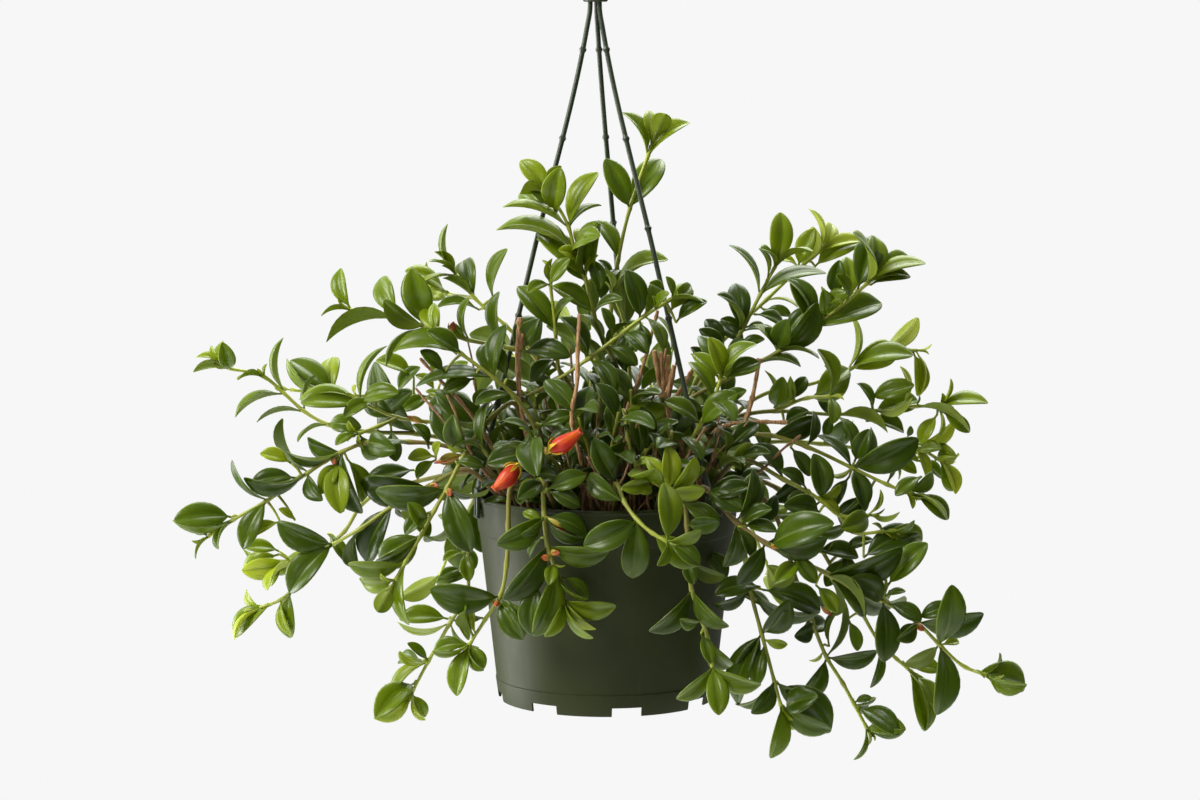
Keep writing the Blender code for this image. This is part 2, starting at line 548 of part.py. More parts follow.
def join_or_cut(base, others, operation):
    """One Boolean on a collection, applied, with the collection's objects removed."""
    if not others:
        return base
    pieces = bpy.data.collections.new(base.name + "_pieces")
    bpy.context.scene.collection.children.link(pieces)
    pieces.hide_render = True
    for other in others:
        for group in list(other.users_collection):
            group.objects.unlink(other)
        pieces.objects.link(other)
    step = base.modifiers.new("fuse", "BOOLEAN")
    step.operation = operation
    step.operand_type = "COLLECTION"
    step.collection = pieces
    step.solver = "EXACT"
    graph = bpy.context.evaluated_depsgraph_get()
    solid = bpy.data.meshes.new_from_object(base.evaluated_get(graph))
    base.modifiers.clear()
    solid.name = base.name
    base.data = keep_largest_body(solid)
    for other in list(pieces.objects):
        bpy.data.objects.remove(other)
    bpy.data.collections.remove(pieces)
    return base


# The pot, the soil and the hanger


def build_pot(group):
    """A turned shell with a skirt, notches, drain holes and a slot for each strand's clip."""
    floor_under = SKIRT_HEIGHT - POT_HEIGHT
    floor_top = floor_under + FLOOR_THICKNESS
    band = -BAND_HEIGHT
    profile = [(0.0, floor_top), (inner_radius(floor_top), floor_top), (inner_radius(0.0), 0.0),
               (RIM_RADIUS, 0.0), (outer_radius(band) + BAND_STEP, band),
               (outer_radius(band), band - BAND_STEP), (BASE_RADIUS, -POT_HEIGHT),
               (BASE_RADIUS - WALL, -POT_HEIGHT), (inner_radius(floor_under), floor_under),
               (0.0, floor_under)]
    shape = bmesh.new()
    corners = [shape.verts.new((radius * MM, 0.0, height * MM)) for radius, height in profile]
    for first, second in zip(corners, corners[1:]):
        shape.edges.new((first, second))
    mesh = bpy.data.meshes.new("pot")
    shape.to_mesh(mesh)
    shape.free()
    pot = new_object("pot", mesh, group)
    turn = pot.modifiers.new("turn", "SCREW")
    turn.steps = POT_SIDES
    turn.render_steps = POT_SIDES
    turn.use_merge_vertices = True
    turn.merge_threshold = 0.00001
    pot.data = as_mesh(pot, "pot")
    pot.modifiers.clear()
    pot.data.transform(Matrix.Translation(world((0.0, 0.0, 0.0))))

    cutters = []
    for number in range(NOTCH_COUNT):
        turn_to = NOTCH_TURN + number * 360.0 / NOTCH_COUNT
        centre = turned(turn_to, BASE_RADIUS - WALL / 2, NOTCH_HEIGHT / 2 - POT_HEIGHT - 1.0)
        size = (5.0 * WALL, NOTCH_WIDTH, NOTCH_HEIGHT + 2.0)
        cutters.append(block("notch", centre, size, turn_to, group))
        if number % 2:
            hole = turned(turn_to, BASE_RADIUS * 0.6, floor_under)
            cutters.append(rod("drain", hole, (5.0, 5.0), 4.0 * FLOOR_THICKNESS, 8, group))
    for turn_to in STRAND_TURNS.values():
        centre = turned(turn_to, RIM_RADIUS, -CLIP_SLOT_BELOW_RIM - CLIP_SLOT_HEIGHT / 2)
        size = (14.0, CLIP_WIDTH + 2 * SEAT_GAP, CLIP_SLOT_HEIGHT)
        cutters.append(block("slot", centre, size, turn_to, group))
    join_or_cut(pot, cutters, "DIFFERENCE")
    return finish_object(pot, plastic_or_plant("pot_plastic", (0.075, 0.085, 0.035), 0.42))


def build_soil(group, roots):
    """The soil in the pot, with a plain hole for each stem."""
    top = -SOIL_DEPTH_BELOW_RIM
    bottom = SKIRT_HEIGHT + FLOOR_THICKNESS + SEAT_GAP - POT_HEIGHT
    radii = (inner_radius(bottom) - SEAT_GAP, inner_radius(top) - SEAT_GAP)
    soil = rod("soil", (0.0, 0.0, (top + bottom) / 2), radii, top - bottom, POT_SIDES, group)
    holes = []
    for (right, forward), radius in roots:
        across_corners = (radius + HOLE_CLEARANCE) / math.cos(math.pi / 4)
        centre = (right, -forward, top - HOLE_DEPTH / 2 + 1.0)
        holes.append(rod("hole", centre, (across_corners, across_corners), HOLE_DEPTH + 2.0, 4,
                         group))
    join_or_cut(soil, holes, "DIFFERENCE")
    return finish_object(soil, plastic_or_plant("soil_earth", (0.035, 0.022, 0.014), 0.95))


def strand_points(turn):
    """The route of one strand, from its clip on the rim to its end in the hub."""
    foot = turned(turn, STRAND_FOOT_RADIUS, STRAND_FOOT_HEIGHT)
    gather = turned(turn, GATHER_RADIUS, GATHER_HEIGHT) - Vector((RIM_RIGHT_OF_SEAT, 0.0, 0.0))
    top = gather.copy()
    top.z = STRAND_TOP
    return [foot, foot.lerp(gather, 0.5), foot.lerp(gather, 0.97),
            gather.lerp(top, 0.25), top]


def build_strand(name, turn, group):
    """A strand with its clip: a plate outside the rim, a tongue through it and a catch."""
    points = strand_points(turn)
    strand = tube(name, points, [STRAND_RADIUS] * len(points), group, 1)
    slot_middle = -CLIP_SLOT_BELOW_RIM - CLIP_SLOT_HEIGHT / 2
    plate_inside = RIM_RADIUS + 0.4
    plate_outside = plate_inside + 2.2
    catch_outside = inner_radius(slot_middle) - 1.1
    catch_inside = catch_outside - 1.6
    tongue = CLIP_SLOT_HEIGHT - 2 * SEAT_GAP

    def radial_block(piece, inside, outside, low, high):
        centre = turned(turn, (inside + outside) / 2, (low + high) / 2)
        return block(piece, centre, (outside - inside, CLIP_WIDTH, high - low), turn, group)

    pieces = [
        radial_block("plate", plate_inside, plate_outside, slot_middle - 4.0, 6.0),
        radial_block("tongue", catch_inside + 0.5, plate_inside + 0.5, slot_middle - tongue / 2,
                     slot_middle + tongue / 2),
        radial_block("catch", catch_inside, catch_outside, slot_middle - 3.4, slot_middle + 3.4),
    ]
    join_or_cut(strand, pieces, "UNION")
    return finish_object(strand, plastic_or_plant(name + "_plastic", (0.045, 0.055, 0.028), 0.4))


def build_hook(group):
    """The hub that holds the strands' ends, with the hook over it."""
    middle = -RIM_RIGHT_OF_SEAT
    hub = rod("hanger_hook", (middle, 0.0, (HUB_BOTTOM + HUB_TOP) / 2), (HUB_RADIUS, HUB_RADIUS),
              HUB_TOP - HUB_BOTTOM, 12, group)
    holes = []
    for turn in STRAND_TURNS.values():
        end = strand_points(turn)[-1]
        depth = STRAND_TOP - HUB_BOTTOM + SEAT_GAP
        radius = STRAND_RADIUS + HOLE_CLEARANCE
        holes.append(rod("strand_hole", (end.x, end.y, HUB_BOTTOM + depth / 2 - 1.0),
                         (radius, radius), depth + 2.0, 8, group))
    join_or_cut(hub, holes, "DIFFERENCE")
    loop = HOOK_INSIDE_RADIUS + HOOK_WIRE_RADIUS
    centre = RIM_BELOW_SEAT - HOOK_INSIDE_RADIUS
    points = [Vector((middle, 0.0, HUB_TOP - 4.0)), Vector((middle, 0.0, HUB_TOP + 4.0)),
              Vector((middle + loop * 0.5, 0.0, centre - loop * 1.05))]
    for step in range(11):
        angle = math.radians(-20.0 + 200.0 * step / 10)
        points.append(Vector((middle + loop * math.cos(angle), 0.0,
                              centre + loop * math.sin(angle))))
    points.append(Vector((middle - loop * 1.05, 0.0, centre - 7.0)))
    wire = tube("wire", points, [HOOK_WIRE_RADIUS] * len(points), group, 2)
    join_or_cut(hub, [wire], "UNION")
    return finish_object(hub, plastic_or_plant("hook_plastic", (0.045, 0.055, 0.028), 0.4))


# Leafy stems


def smooth(points, longest):
    """Points with a Catmull-Rom point added wherever two lie further apart than longest."""
    result = [points[0]]
    for number in range(1, len(points)):
        before = points[max(number - 2, 0)]
        start = points[number - 1]
        end = points[number]
        after = points[min(number + 1, len(points) - 1)]
        if (end - start).length > longest:
            result.append((start + end) * 0.5625 - (before + after) * 0.0625)
        result.append(end)
    return result


def root_points(root):
    """Where a stem stands in its hole and where it leaves the soil."""
    right, forward = root
    low = SEAT_GAP - SOIL_DEPTH_BELOW_RIM - HOLE_DEPTH
    return [Vector((right, -forward, low)),
            Vector((right, -forward, 4.0 - SOIL_DEPTH_BELOW_RIM))]


def over_rim(points):
    """Points with one added inside the rim where a stem would leave the pot through its wall."""
    result = [points[0]]
    for start, end in zip(points, points[1:]):
        start_reach = math.hypot(start.x, start.y)
        end_reach = math.hypot(end.x, end.y)
        if start_reach < RIM_PASS_RADIUS < end_reach:
            share = (RIM_PASS_RADIUS - start_reach) / (end_reach - start_reach)
            crossing = start.lerp(end, share)
            if crossing.z < RIM_PASS_HEIGHT:
                crossing.z = RIM_PASS_HEIGHT
                result.append(crossing)
        result.append(end)
    return result


def drawn_shoots(root, drawing, shift):
    """A drawn stem's shoots: the points each passes, and each joint with its leaves."""
    shoots = []
    for parent, joints in drawing:
        points = root_points(root) if parent is None else [shoots[0][1][parent][0]]
        places = []
        for number, (across, up, forward, leaves) in enumerate(joints):
            eased = shift if parent is not None else shift * min(1.0, (number + 1) / 3)
            place = sight(across, up, forward + eased)
            tips = [(sight(tip_across, tip_up, forward + eased + lean), face)
                    for tip_across, tip_up, lean, face in leaves]
            points.append(place)
            places.append((place, tips))
        shoots.append((smooth(over_rim(points), LONGEST_STEM_STEP), places))
    return shoots


def far_shoots(root, turn, reach, tip_height, draw):
    """A stem of the far side: it arches over the rim, with crossed pairs of leaves."""
    start = root_points(root)[1]
    crest = turned(turn, RIM_RADIUS + 14.0, 62.0 + max(tip_height, 0.0) * 0.4)
    end = turned(turn + draw.uniform(-8.0, 8.0), reach, tip_height)
    length = (crest - start).length + (end - crest).length
    count = max(4, round(length / FAR_JOINT_STEP))

    def along(share):
        return (start * (1 - share) ** 2 + crest * (2 * share * (1 - share)) + end * share ** 2)

    places = []
    for number in range(1, count + 1):
        share = number / count
        place = along(share)
        ahead = (along(share) - along(share - 0.05)).normalized()
        aside = ahead.cross(Vector((0.0, 0.0, 1.0))).normalized()
        aside.rotate(Matrix.Rotation(math.radians(90.0 * number + draw.uniform(-15, 15) + 20.0),
                                     3, ahead))
        leaves = []
        if math.hypot(place.x, place.y) > RIM_RADIUS - 12.0:
            spread = math.radians(FAR_LEAF_SPREAD * (0.72 if number == count else 1.0))
            size = FAR_LEAF_LENGTH * (1.06 - 0.22 * share) * draw.uniform(0.9, 1.1)
            for side in (-1.0, 1.0):
                way = ahead * math.cos(spread) + aside * (side * math.sin(spread))
                leaves.append((place + way * size, None))
        places.append((place, leaves))
    points = root_points(root) + [place for place, leaves in places]
    return [(points, places)]


def radii_along(points, first, last):
    """Radii that run evenly from first to last along the points."""
    steps = [0.0]
    for start, end in zip(points, points[1:]):
        steps.append(steps[-1] + (end - start).length)
    return [first + (last - first) * step / steps[-1] for step in steps]


def stem_radii(points, is_side):
    """A stem's radii: a side shoot starts thinner."""
    return radii_along(points, 1.35 if is_side else STEM_ROOT_RADIUS, STEM_TIP_RADIUS)


def segment_gap(start, end, other_start, other_end):
    """The least distance between two straight stretches, near enough for stems."""
    way = end - start
    other_way = other_end - other_start
    between = start - other_start
    a = way.dot(way)
    b = way.dot(other_way)
    c = other_way.dot(other_way)
    d = way.dot(between)
    e = other_way.dot(between)
    parallel = a * c - b * b
    share = 0.0 if parallel < 1e-9 else min(1.0, max(0.0, (b * e - c * d) / parallel))
    other_share = min(1.0, max(0.0, (b * share + e) / c))
    share = min(1.0, max(0.0, (b * other_share - d) / a))
    return (start + way * share - other_start - other_way * other_share).length


def clears_pot(point, radius):
    """Whether a stem of this radius at this point is clear of the pot's wall and rim."""
    spare = radius + 0.6
    height = point.z
    from_axis = math.hypot(point.x, point.y)
    if height > spare or height < -POT_HEIGHT - spare:
        return True
    if from_axis > outer_radius(min(0.0, height)) + BAND_STEP + spare:
        return True
    return height > -SOIL_DEPTH_BELOW_RIM - HOLE_DEPTH and from_axis < inner_radius(height) - spare


def crowding(points, radii, others):
    """How deep a stem runs into the pot or into what has its place already, in millimetres."""
    worst = 0.0
    for number in range(len(points) - 1):
        start, end, radius = points[number], points[number + 1], radii[number]
        for step in range(5):
            if not clears_pot(start.lerp(end, step / 4), radius):
                worst = max(worst, 2.0)
        low = Vector([min(start[i], end[i]) - radius - 3.0 for i in range(3)])
        high = Vector([max(start[i], end[i]) + radius + 3.0 for i in range(3)])
        for other_start, other_end, other_radius in others:
            if any(max(other_start[i], other_end[i]) < low[i]
                   or min(other_start[i], other_end[i]) > high[i] for i in range(3)):
                continue
            gap = segment_gap(start, end, other_start, other_end)
            worst = max(worst, radius + other_radius + 0.6 - gap)
    return worst


def stretches(points, radii):
    """A tube as straight stretches with their radii."""
    return [(start, end, radius) for start, end, radius in zip(points, points[1:], radii)]


DEPTH_SHIFTS = (0, 4, -4, 8, -8, 12, -12, 16, -16, 20, -20)


def settle_stems(taken):
    """Each stem's shoots, moved along the line of sight until the stem is clear of the rest."""
    draw = random.Random(SEED)
    plans = {}
    for name, (root, drawing) in STEMS.items():
        plans[name] = [drawn_shoots(root, drawing, shift) for shift in DEPTH_SHIFTS]
    for name, (root, turn, reach, tip_height) in FAR_STEMS.items():
        plans[name] = [far_shoots(root, turn + draw.uniform(-4, 4), reach, tip_height, draw)
                       for number in range(FAR_TRIES)]
    settled = {}
    for name, choices in plans.items():
        best = None
        for shoots in choices:
            depth = max(crowding(points, stem_radii(points, number > 0), taken)
                        for number, (points, places) in enumerate(shoots))
            if best is None or depth < best[0]:
                best = (depth, shoots)
            if depth <= 0.0:
                break
        settled[name] = best[1]
        for number, (points, places) in enumerate(best[1]):
            taken.extend(stretches(points, stem_radii(points, number > 0)))
    return settled


def leaf_frame(root, tip, face, ahead):
    """A leaf's length, its own directions along and up, from where it grows and how it faces."""
    along = (tip - root).normalized()
    above = ahead - along * ahead.dot(along)
    if above.length < 0.25:
        above = Vector((0.0, 0.0, 1.0)) - along * along.z
    above.normalize()
    if face is None:
        above = above + (Vector((0.0, 0.0, 1.0)) - along * along.z) * 0.6
        return (tip - root).length, along, above.normalized()
    eye = Vector((EYE_ACROSS, -EYE_AWAY, EYE_UP)) - root
    shown = (eye - along * eye.dot(along)).normalized()
    above = shown * face + above * math.sqrt(1.0 - face * face)
    above = above - along * above.dot(along)
    return (tip - root).length, along, above.normalized()


def leaf_stations(length):
    """A leaf's stations from its root, inside the stem, to its tip: how far out and how wide."""
    half = length * LEAF_WIDTH_SHARE / 2
    if length < BIG_LEAF:
        blade = [(0.45 * length, half * 1.08)]
    else:
        blade = [(0.34 * length, half * 0.97), (0.69 * length, half * 0.86)]
    return [(0.0, 0.0), (LEAF_STALK_LENGTH, LEAF_STALK_WIDTH / 2), *blade, (length, 0.0)]


def leaf_point(spot, root, frame, spare, sink=LEAF_SINKS[0]):
    """Where a point of a three-sided unit sphere lands on a leaf, an arched blade with a keel."""
    length, along, above = frame
    stations = leaf_stations(length)
    station = round(math.acos(max(-1.0, min(1.0, -spot.z))) / math.pi * (len(stations) - 1))
    reach, half_width = stations[station]
    share = reach / length
    lift = LEAF_BOW * length * 4 * share * (1 - share)
    across = 0.0
    if 0 < station < len(stations) - 1:
        across = round(spot.y / math.hypot(spot.x, spot.y)) * (half_width + spare)
        lift += 0.4 * LEAF_THICKNESS + spare if across else -0.6 * LEAF_THICKNESS - spare
    else:
        reach += spare if station else -sink
    return root + along * reach + above * lift + along.cross(above) * across


def sphere_template(length):
    """The points and faces of a three-sided sphere with a ring for each station of a leaf."""
    shape = bmesh.new()
    bmesh.ops.create_uvsphere(shape, u_segments=3, v_segments=len(leaf_stations(length)) - 1,
                              radius=1.0)
    spots = [vert.co.copy() for vert in shape.verts]
    faces = [[vert.index for vert in face.verts] for face in shape.faces]
    shape.free()
    return spots, faces


def leaf_object(name, root, frame, sink, group):
    """A leaf as a closed blade, its root sunk past the middle of the stem."""
    shape = bmesh.new()
    bmesh.ops.create_uvsphere(shape, u_segments=3, v_segments=len(leaf_stations(frame[0])) - 1,
                              radius=1.0)
    for vert in shape.verts:
        vert.co = world(leaf_point(vert.co.copy(), root, frame, 0.0, sink))
    return from_shape(name, shape, group)


LEANS = (0.0, 5.0, -5.0, 10.0, -10.0, 16.0, -16.0, 22.0, -22.0)
SWINGS = (0.0, 9.0, -9.0, 18.0, -18.0)
SIZES = (1.0, 0.88, 0.76)


def leaf_choices(root, tip):
    """Tips to try for a leaf: leaning along the line of sight, swung aside, and shorter."""
    eye = (Vector((EYE_ACROSS, -EYE_AWAY, EYE_UP)) - root).normalized()
    for size in SIZES:
        for swing in SWINGS:
            way = (tip - root) * size
            way.rotate(Matrix.Rotation(math.radians(swing), 3, eye))
            for lean in LEANS:
                yield root + way + eye * lean


class Space:
    """What has its place already, to keep leaves clear of it."""

    def __init__(self):
        self.things = []

    def add(self, owner, spots, faces):
        """Take a place for an owner."""
        self.things.append((owner, *span(spots), BVHTree.FromPolygons(spots, faces)))

    def free(self, owner, is_own, spots, faces):
        """Whether a body is clear of the owner's own things, or else of all others."""
        low, high = span(spots)
        tree = None
        for other, other_low, other_high, other_tree in self.things:
            if (other == owner) != is_own:
                continue
            if any(high[i] < other_low[i] or low[i] > other_high[i] for i in range(3)):
                continue
            tree = tree or BVHTree.FromPolygons(spots, faces)
            if tree.overlap(other_tree):
                return False
        return True


def span(spots):
    """The lowest and the highest value on each axis."""
    return ([min(spot[i] for spot in spots) for i in range(3)],
            [max(spot[i] for spot in spots) for i in range(3)])


def mesh_space(thing):
    """An object's points, in layout millimetres, and faces."""
    spots = [vert.co / MM + Vector((-RIM_RIGHT_OF_SEAT, 0.0, RIM_BELOW_SEAT))
             for vert in thing.data.vertices]
    return spots, [list(face.vertices) for face in thing.data.polygons]


def outer_part(root, body, faces):
    """The faces of a leaf that lie away from its root."""
    reach = max((spot - root).length for spot in body)
    return [face for face in faces
            if all((body[corner] - root).length > 0.2 * reach for corner in face)]


def find_leaf(name, place, tip, face, ahead, space, templates):
    """The first choice for a leaf that is clear of all else, or else of the other pieces."""
    fallback = None
    for choice in leaf_choices(place, tip):
        frame = leaf_frame(place, choice, face, ahead)
        spots, faces = templates[frame[0] < BIG_LEAF]
        body = [leaf_point(spot, place, frame, CLEARANCE) for spot in spots]
        if not space.free(name, False, body, faces):
            continue
        fallback = fallback or frame
        if space.free(name, True, body, outer_part(place, body, faces)):
            return frame
    return fallback


def place_leaves(settled, space):
    """For each stem, the leaves that find a clear place: where each grows and its frame."""
    templates = {True: sphere_template(BIG_LEAF - 1.0), False: sphere_template(BIG_LEAF + 1.0)}
    placed = {name: [] for name in settled}
    for name, shoots in settled.items():
        for points, places in shoots:
            joints = [place for place, tips in places]
            for number, (place, tips) in enumerate(places):
                before = joints[number - 1] if number else points[0]
                ahead = (joints[min(number + 1, len(joints) - 1)] - before).normalized()
                for tip, face in tips:
                    frame = find_leaf(name, place, tip, face, ahead, space, templates)
                    if frame:
                        spots, faces = templates[frame[0] < BIG_LEAF]
                        body = [leaf_point(spot, place, frame, 0.0) for spot in spots]
                        space.add(name, body, faces)
                        placed[name].append((place, frame))
    return placed


def build_stem(name, shoots, leaves, group, shade):
    """One leafy stem: its shoots and its leaves, fused, with the first sink that fuses cleanly."""
    for sink in LEAF_SINKS:
        tubes = [tube(name, points, stem_radii(points, number > 0), group)
                 for number, (points, places) in enumerate(shoots)]
        tubes[0].name = name
        blades = [leaf_object("leaf", place, frame, sink, group) for place, frame in leaves]
        stem = join_or_cut(tubes[0], tubes[1:] + blades, "UNION")
        if is_clean(stem.data):
            break
        if sink != LEAF_SINKS[-1]:
            bpy.data.objects.remove(stem)
    return finish_object(stem, plastic_or_plant(name + "_leaf", shade, 0.38))


# Twigs and flowers


def twig_branches(branches, root):
    """A twig's branches as layout points, the first one standing in its hole."""
    routes = [[sight(*spot) for spot in branch] for branch in branches]
    routes[0] = root_points(root) + routes[0]
    return [smooth(route, LONGEST_STEM_STEP) for route in routes]


def build_twig(name, radius, branches, root, group):
    """A cut woody twig."""
    routes = twig_branches(branches, root)
    tubes = [tube(name, route, radii_along(route, radius, radius * 0.8), group)
             for route in routes]
    tubes[0].name = name
    join_or_cut(tubes[0], tubes[1:], "UNION")
    return finish_object(tubes[0], plastic_or_plant(name + "_wood", (0.20, 0.10, 0.05), 0.8))


def pouch_radius(share):
    """The radius of a flower's pouch: swollen, then narrowed to its mouth."""
    neck = 1.7
    return neck + (POUCH_BELLY - neck) * math.sin(math.pi * share ** 0.72) ** 1.3


def build_flower(name, joint, bend, base, mouth, group):
    """A pouched flower, and the stalk and lobes that hold it."""
    way = (mouth - base).normalized()
    length = (mouth - base).length
    lean = way.to_track_quat("Z", "Y").to_matrix()
    shape = bmesh.new()
    bmesh.ops.create_uvsphere(shape, u_segments=10, v_segments=8, radius=1.0)
    for vert in shape.verts:
        share = math.acos(max(-1.0, min(1.0, -vert.co.z))) / math.pi
        ring = math.hypot(vert.co.x, vert.co.y)
        radius = pouch_radius(share) if ring > 0.001 else 0.0
        turn = math.atan2(vert.co.y, vert.co.x)
        sag = Vector((0.0, 0.0, POUCH_SAG * math.sin(math.pi * share)))
        local = Vector((radius * math.cos(turn), radius * math.sin(turn), share * length))
        vert.co = world(base + lean @ local - sag)
    pouch = from_shape(name, shape, group)
    finish_object(pouch, plastic_or_plant(name + "_petal", (0.72, 0.10, 0.03), 0.45))

    calyx_name = name + "_calyx"
    seat = base - way * SEAT_GAP
    start = joint + (bend - joint).normalized() * (STEM_ROOT_RADIUS + STALK_RADIUS)
    calyx = tube(calyx_name, [start, bend, seat - way * 2.8, seat],
                 [STALK_RADIUS, STALK_RADIUS, 1.1, 1.9], group, 1)
    lobes = []
    for number in range(CALYX_LOBES):
        turn = 2 * math.pi * (number + 0.3) / CALYX_LOBES
        out = lean @ Vector((math.cos(turn), math.sin(turn), 0.0))
        lobes.append(tube("lobe", [seat - way * 2.0, seat + out * 4.6,
                                   seat + way * 7.5 + out * 7.8], [0.9, 0.8, 0.4], group))
    join_or_cut(calyx, lobes, "UNION")
    finish_object(calyx, plastic_or_plant(calyx_name + "_green", (0.55, 0.42, 0.03), 0.5))
    return pouch, calyx


# The whole plant


def main():
    clear_scene()
    group = bpy.data.collections.new("goldfish_plant_hanging_basket")
    bpy.context.scene.collection.children.link(group)

    solids = [build_pot(group), build_hook(group)]
    taken = []
    for side, turn in STRAND_TURNS.items():
        solids.append(build_strand("hanger_strand_" + side, turn, group))
        points = strand_points(turn)
        taken.extend(stretches(points, [STRAND_RADIUS] * len(points)))
    for name, (radius, branches, root) in TWIGS.items():
        solids.append(build_twig(name, radius, branches, root, group))
        for route in twig_branches(branches, root):
            taken.extend(stretches(route, [radius] * len(route)))
    for stem, joint, bend, base, mouth in FLOWERS.values():
        base, mouth = sight(*base), sight(*mouth)
        taken.append((base, mouth, POUCH_BELLY + 1.0))

    settled = settle_stems(taken)
    for name, (stem, joint, *spots) in FLOWERS.items():
        points, places = settled[stem][0]
        solids.extend(build_flower(name, places[joint][0], *[sight(*spot) for spot in spots],
                                   group))
    roots = [(root, STEM_ROOT_RADIUS) for root, drawing in STEMS.values()]
    roots += [(far[0], STEM_ROOT_RADIUS) for far in FAR_STEMS.values()]
    roots += [(root, radius) for radius, branches, root in TWIGS.values()]
    solids.append(build_soil(group, roots))

    space = Space()
    for thing in solids:
        space.add(thing.name, *mesh_space(thing))
    for name, shoots in settled.items():
        for number, (points, places) in enumerate(shoots):
            stem = tube("trial", points, stem_radii(points, number > 0), group)
            space.add(name, *mesh_space(stem))
            bpy.data.objects.remove(stem)
    leaves = place_leaves(settled, space)
    draw = random.Random(SEED)
    for name, shoots in settled.items():
        shade = (draw.uniform(0.05, 0.09), draw.uniform(0.13, 0.19), draw.uniform(0.01, 0.03))
        build_stem(name, shoots, leaves[name], group, shade)


main()
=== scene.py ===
"""The looks of the goldfish plant in its hanging basket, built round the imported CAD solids.

Each CAD node is replaced by a finer piece at the same place: stems with leaves, flowers, the
pot, the soil and the hanger. Small leaves, buds, dead twigs and moss are added. The layout is in
millimetres from the middle of the pot's rim, x to the right, y away and z up, and the drawing
of the plant is the one that the solids were made from.
"""

import json
import math
import random

import bmesh
import bpy
import numpy as np
from mathutils import Matrix, Vector
from mathutils.kdtree import KDTree

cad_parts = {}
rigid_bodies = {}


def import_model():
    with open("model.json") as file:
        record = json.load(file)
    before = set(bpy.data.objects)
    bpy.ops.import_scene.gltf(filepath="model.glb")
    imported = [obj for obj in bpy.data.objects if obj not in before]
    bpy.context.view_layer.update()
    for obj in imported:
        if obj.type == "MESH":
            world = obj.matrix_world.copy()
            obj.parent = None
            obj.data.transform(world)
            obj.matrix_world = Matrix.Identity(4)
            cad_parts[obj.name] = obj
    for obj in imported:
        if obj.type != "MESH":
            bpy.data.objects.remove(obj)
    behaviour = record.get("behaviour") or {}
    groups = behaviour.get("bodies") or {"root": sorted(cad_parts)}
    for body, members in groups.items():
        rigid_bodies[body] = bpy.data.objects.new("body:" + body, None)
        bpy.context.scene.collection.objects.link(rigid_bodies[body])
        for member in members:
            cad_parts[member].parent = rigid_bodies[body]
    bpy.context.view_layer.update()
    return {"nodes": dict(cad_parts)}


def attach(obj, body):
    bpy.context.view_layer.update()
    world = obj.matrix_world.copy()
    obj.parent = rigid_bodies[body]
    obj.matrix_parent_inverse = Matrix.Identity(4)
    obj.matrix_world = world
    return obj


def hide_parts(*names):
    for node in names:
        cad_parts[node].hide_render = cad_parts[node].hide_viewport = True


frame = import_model()

MM = 0.001
SEED = 41
UP = Vector((0.0, 0.0, 1.0))

# The pot. A crease is the angle, in degrees, from which an edge is drawn sharp.
RIM_BELOW_SEAT = 350.0
RIM_RIGHT_OF_SEAT = 6.7
RIM_RADIUS = 80.5
BASE_RADIUS = 66.0
POT_HEIGHT = 125.6
WALL = 1.6
LIP = 0.45
BAND_HEIGHT = 22.5
BAND_STEP = 0.8
BASE_STEP_HEIGHT = 13.0
BASE_STEP = 0.4
SKIRT_HEIGHT = 6.4
FLOOR_THICKNESS = 1.8
POT_SIDES = 144
NOTCH_COUNT = 8
NOTCH_TURN = 10.5
NOTCH_WIDTH = 18.0
NOTCH_HEIGHT = 5.4
DRAIN_RADIUS = 5.0
FLAT_MIDDLE = 20.0
CUTTER_SIDES = 32
MOULDED_CREASE = 35

# The soil, and how the solids fit in it. It is uneven at two sizes: how high the bumps are, how
# long they are and the seed of each.
SOIL_DEPTH_BELOW_RIM = 14.0
SEAT_GAP = 0.3
HOLE_DEPTH = 10.0
HOLE_CLEARANCE = 0.4
WAVES_IN_BUMPS = 14
SOIL_BUMPS = ((1.1, 16.0, 3), (0.7, 5.0, 4))
SOIL_SIDES = 128
SOIL_RINGS = 42
CRUMBS = 900
CRUMB_SIZES = [0.8, 1.1, 1.4, 2.2]
MOSS_TUFTS = 240
MOSS_LEAVES = 7
MOSS_SPREAD = 71.0
MOSS_BARE_SHARE = 0.35

# The hanger: strand turns are degrees about the pot, from the viewer's side to the right
STRAND_TURNS = {"left": -72.0, "right": 48.0, "back": 168.0}
STRAND_RADIUS = 1.5
STRAND_SIDES = 16
STRAND_STEP = 1.0
STRAND_FOOT_RADIUS = 82.2
STRAND_FOOT_HEIGHT = 4.0
GATHER_HEIGHT = 289.0
GATHER_RADIUS = 3.4
STRAND_TOP = 303.0
NUBS = 6
NUB_TOP = 268.5
NUB_STEP = 53.0
NUB_SIZE = 0.85
NUB_HALF_LENGTH = 0.9
HUB_BOTTOM = 297.0
HUB_TOP = 311.0
HUB_RADIUS = 7.5
HUB_SIDES = 64
HOOK_WIRE_RADIUS = 2.2
HOOK_INSIDE_RADIUS = 11.0
HOOK_SIDES = 24
HANGER_CREASE = 50
CLIP_WIDTH = 7.0
CLIP_SLOT_HEIGHT = 4.0
CLIP_SLOT_BELOW_RIM = 6.0

# The eye that the drawing was made from, and its distance from the pot's middle
EYE_ACROSS = -3.96
EYE_AWAY = 2000.0
EYE_UP = 274.0
EYE = Vector((EYE_ACROSS, -EYE_AWAY, EYE_UP))

# Stems: a joint is a little thicker than the stem, over a short length
STEM_ROOT_RADIUS = 1.9
SIDE_SHOOT_RADIUS = 1.35
STEM_TIP_RADIUS = 1.15
STEM_SIDES = 10
JOINT_SIZE = 0.42
JOINT_LENGTH = 2.6
RIM_PASS_RADIUS = 75.5
RIM_PASS_HEIGHT = 6.0

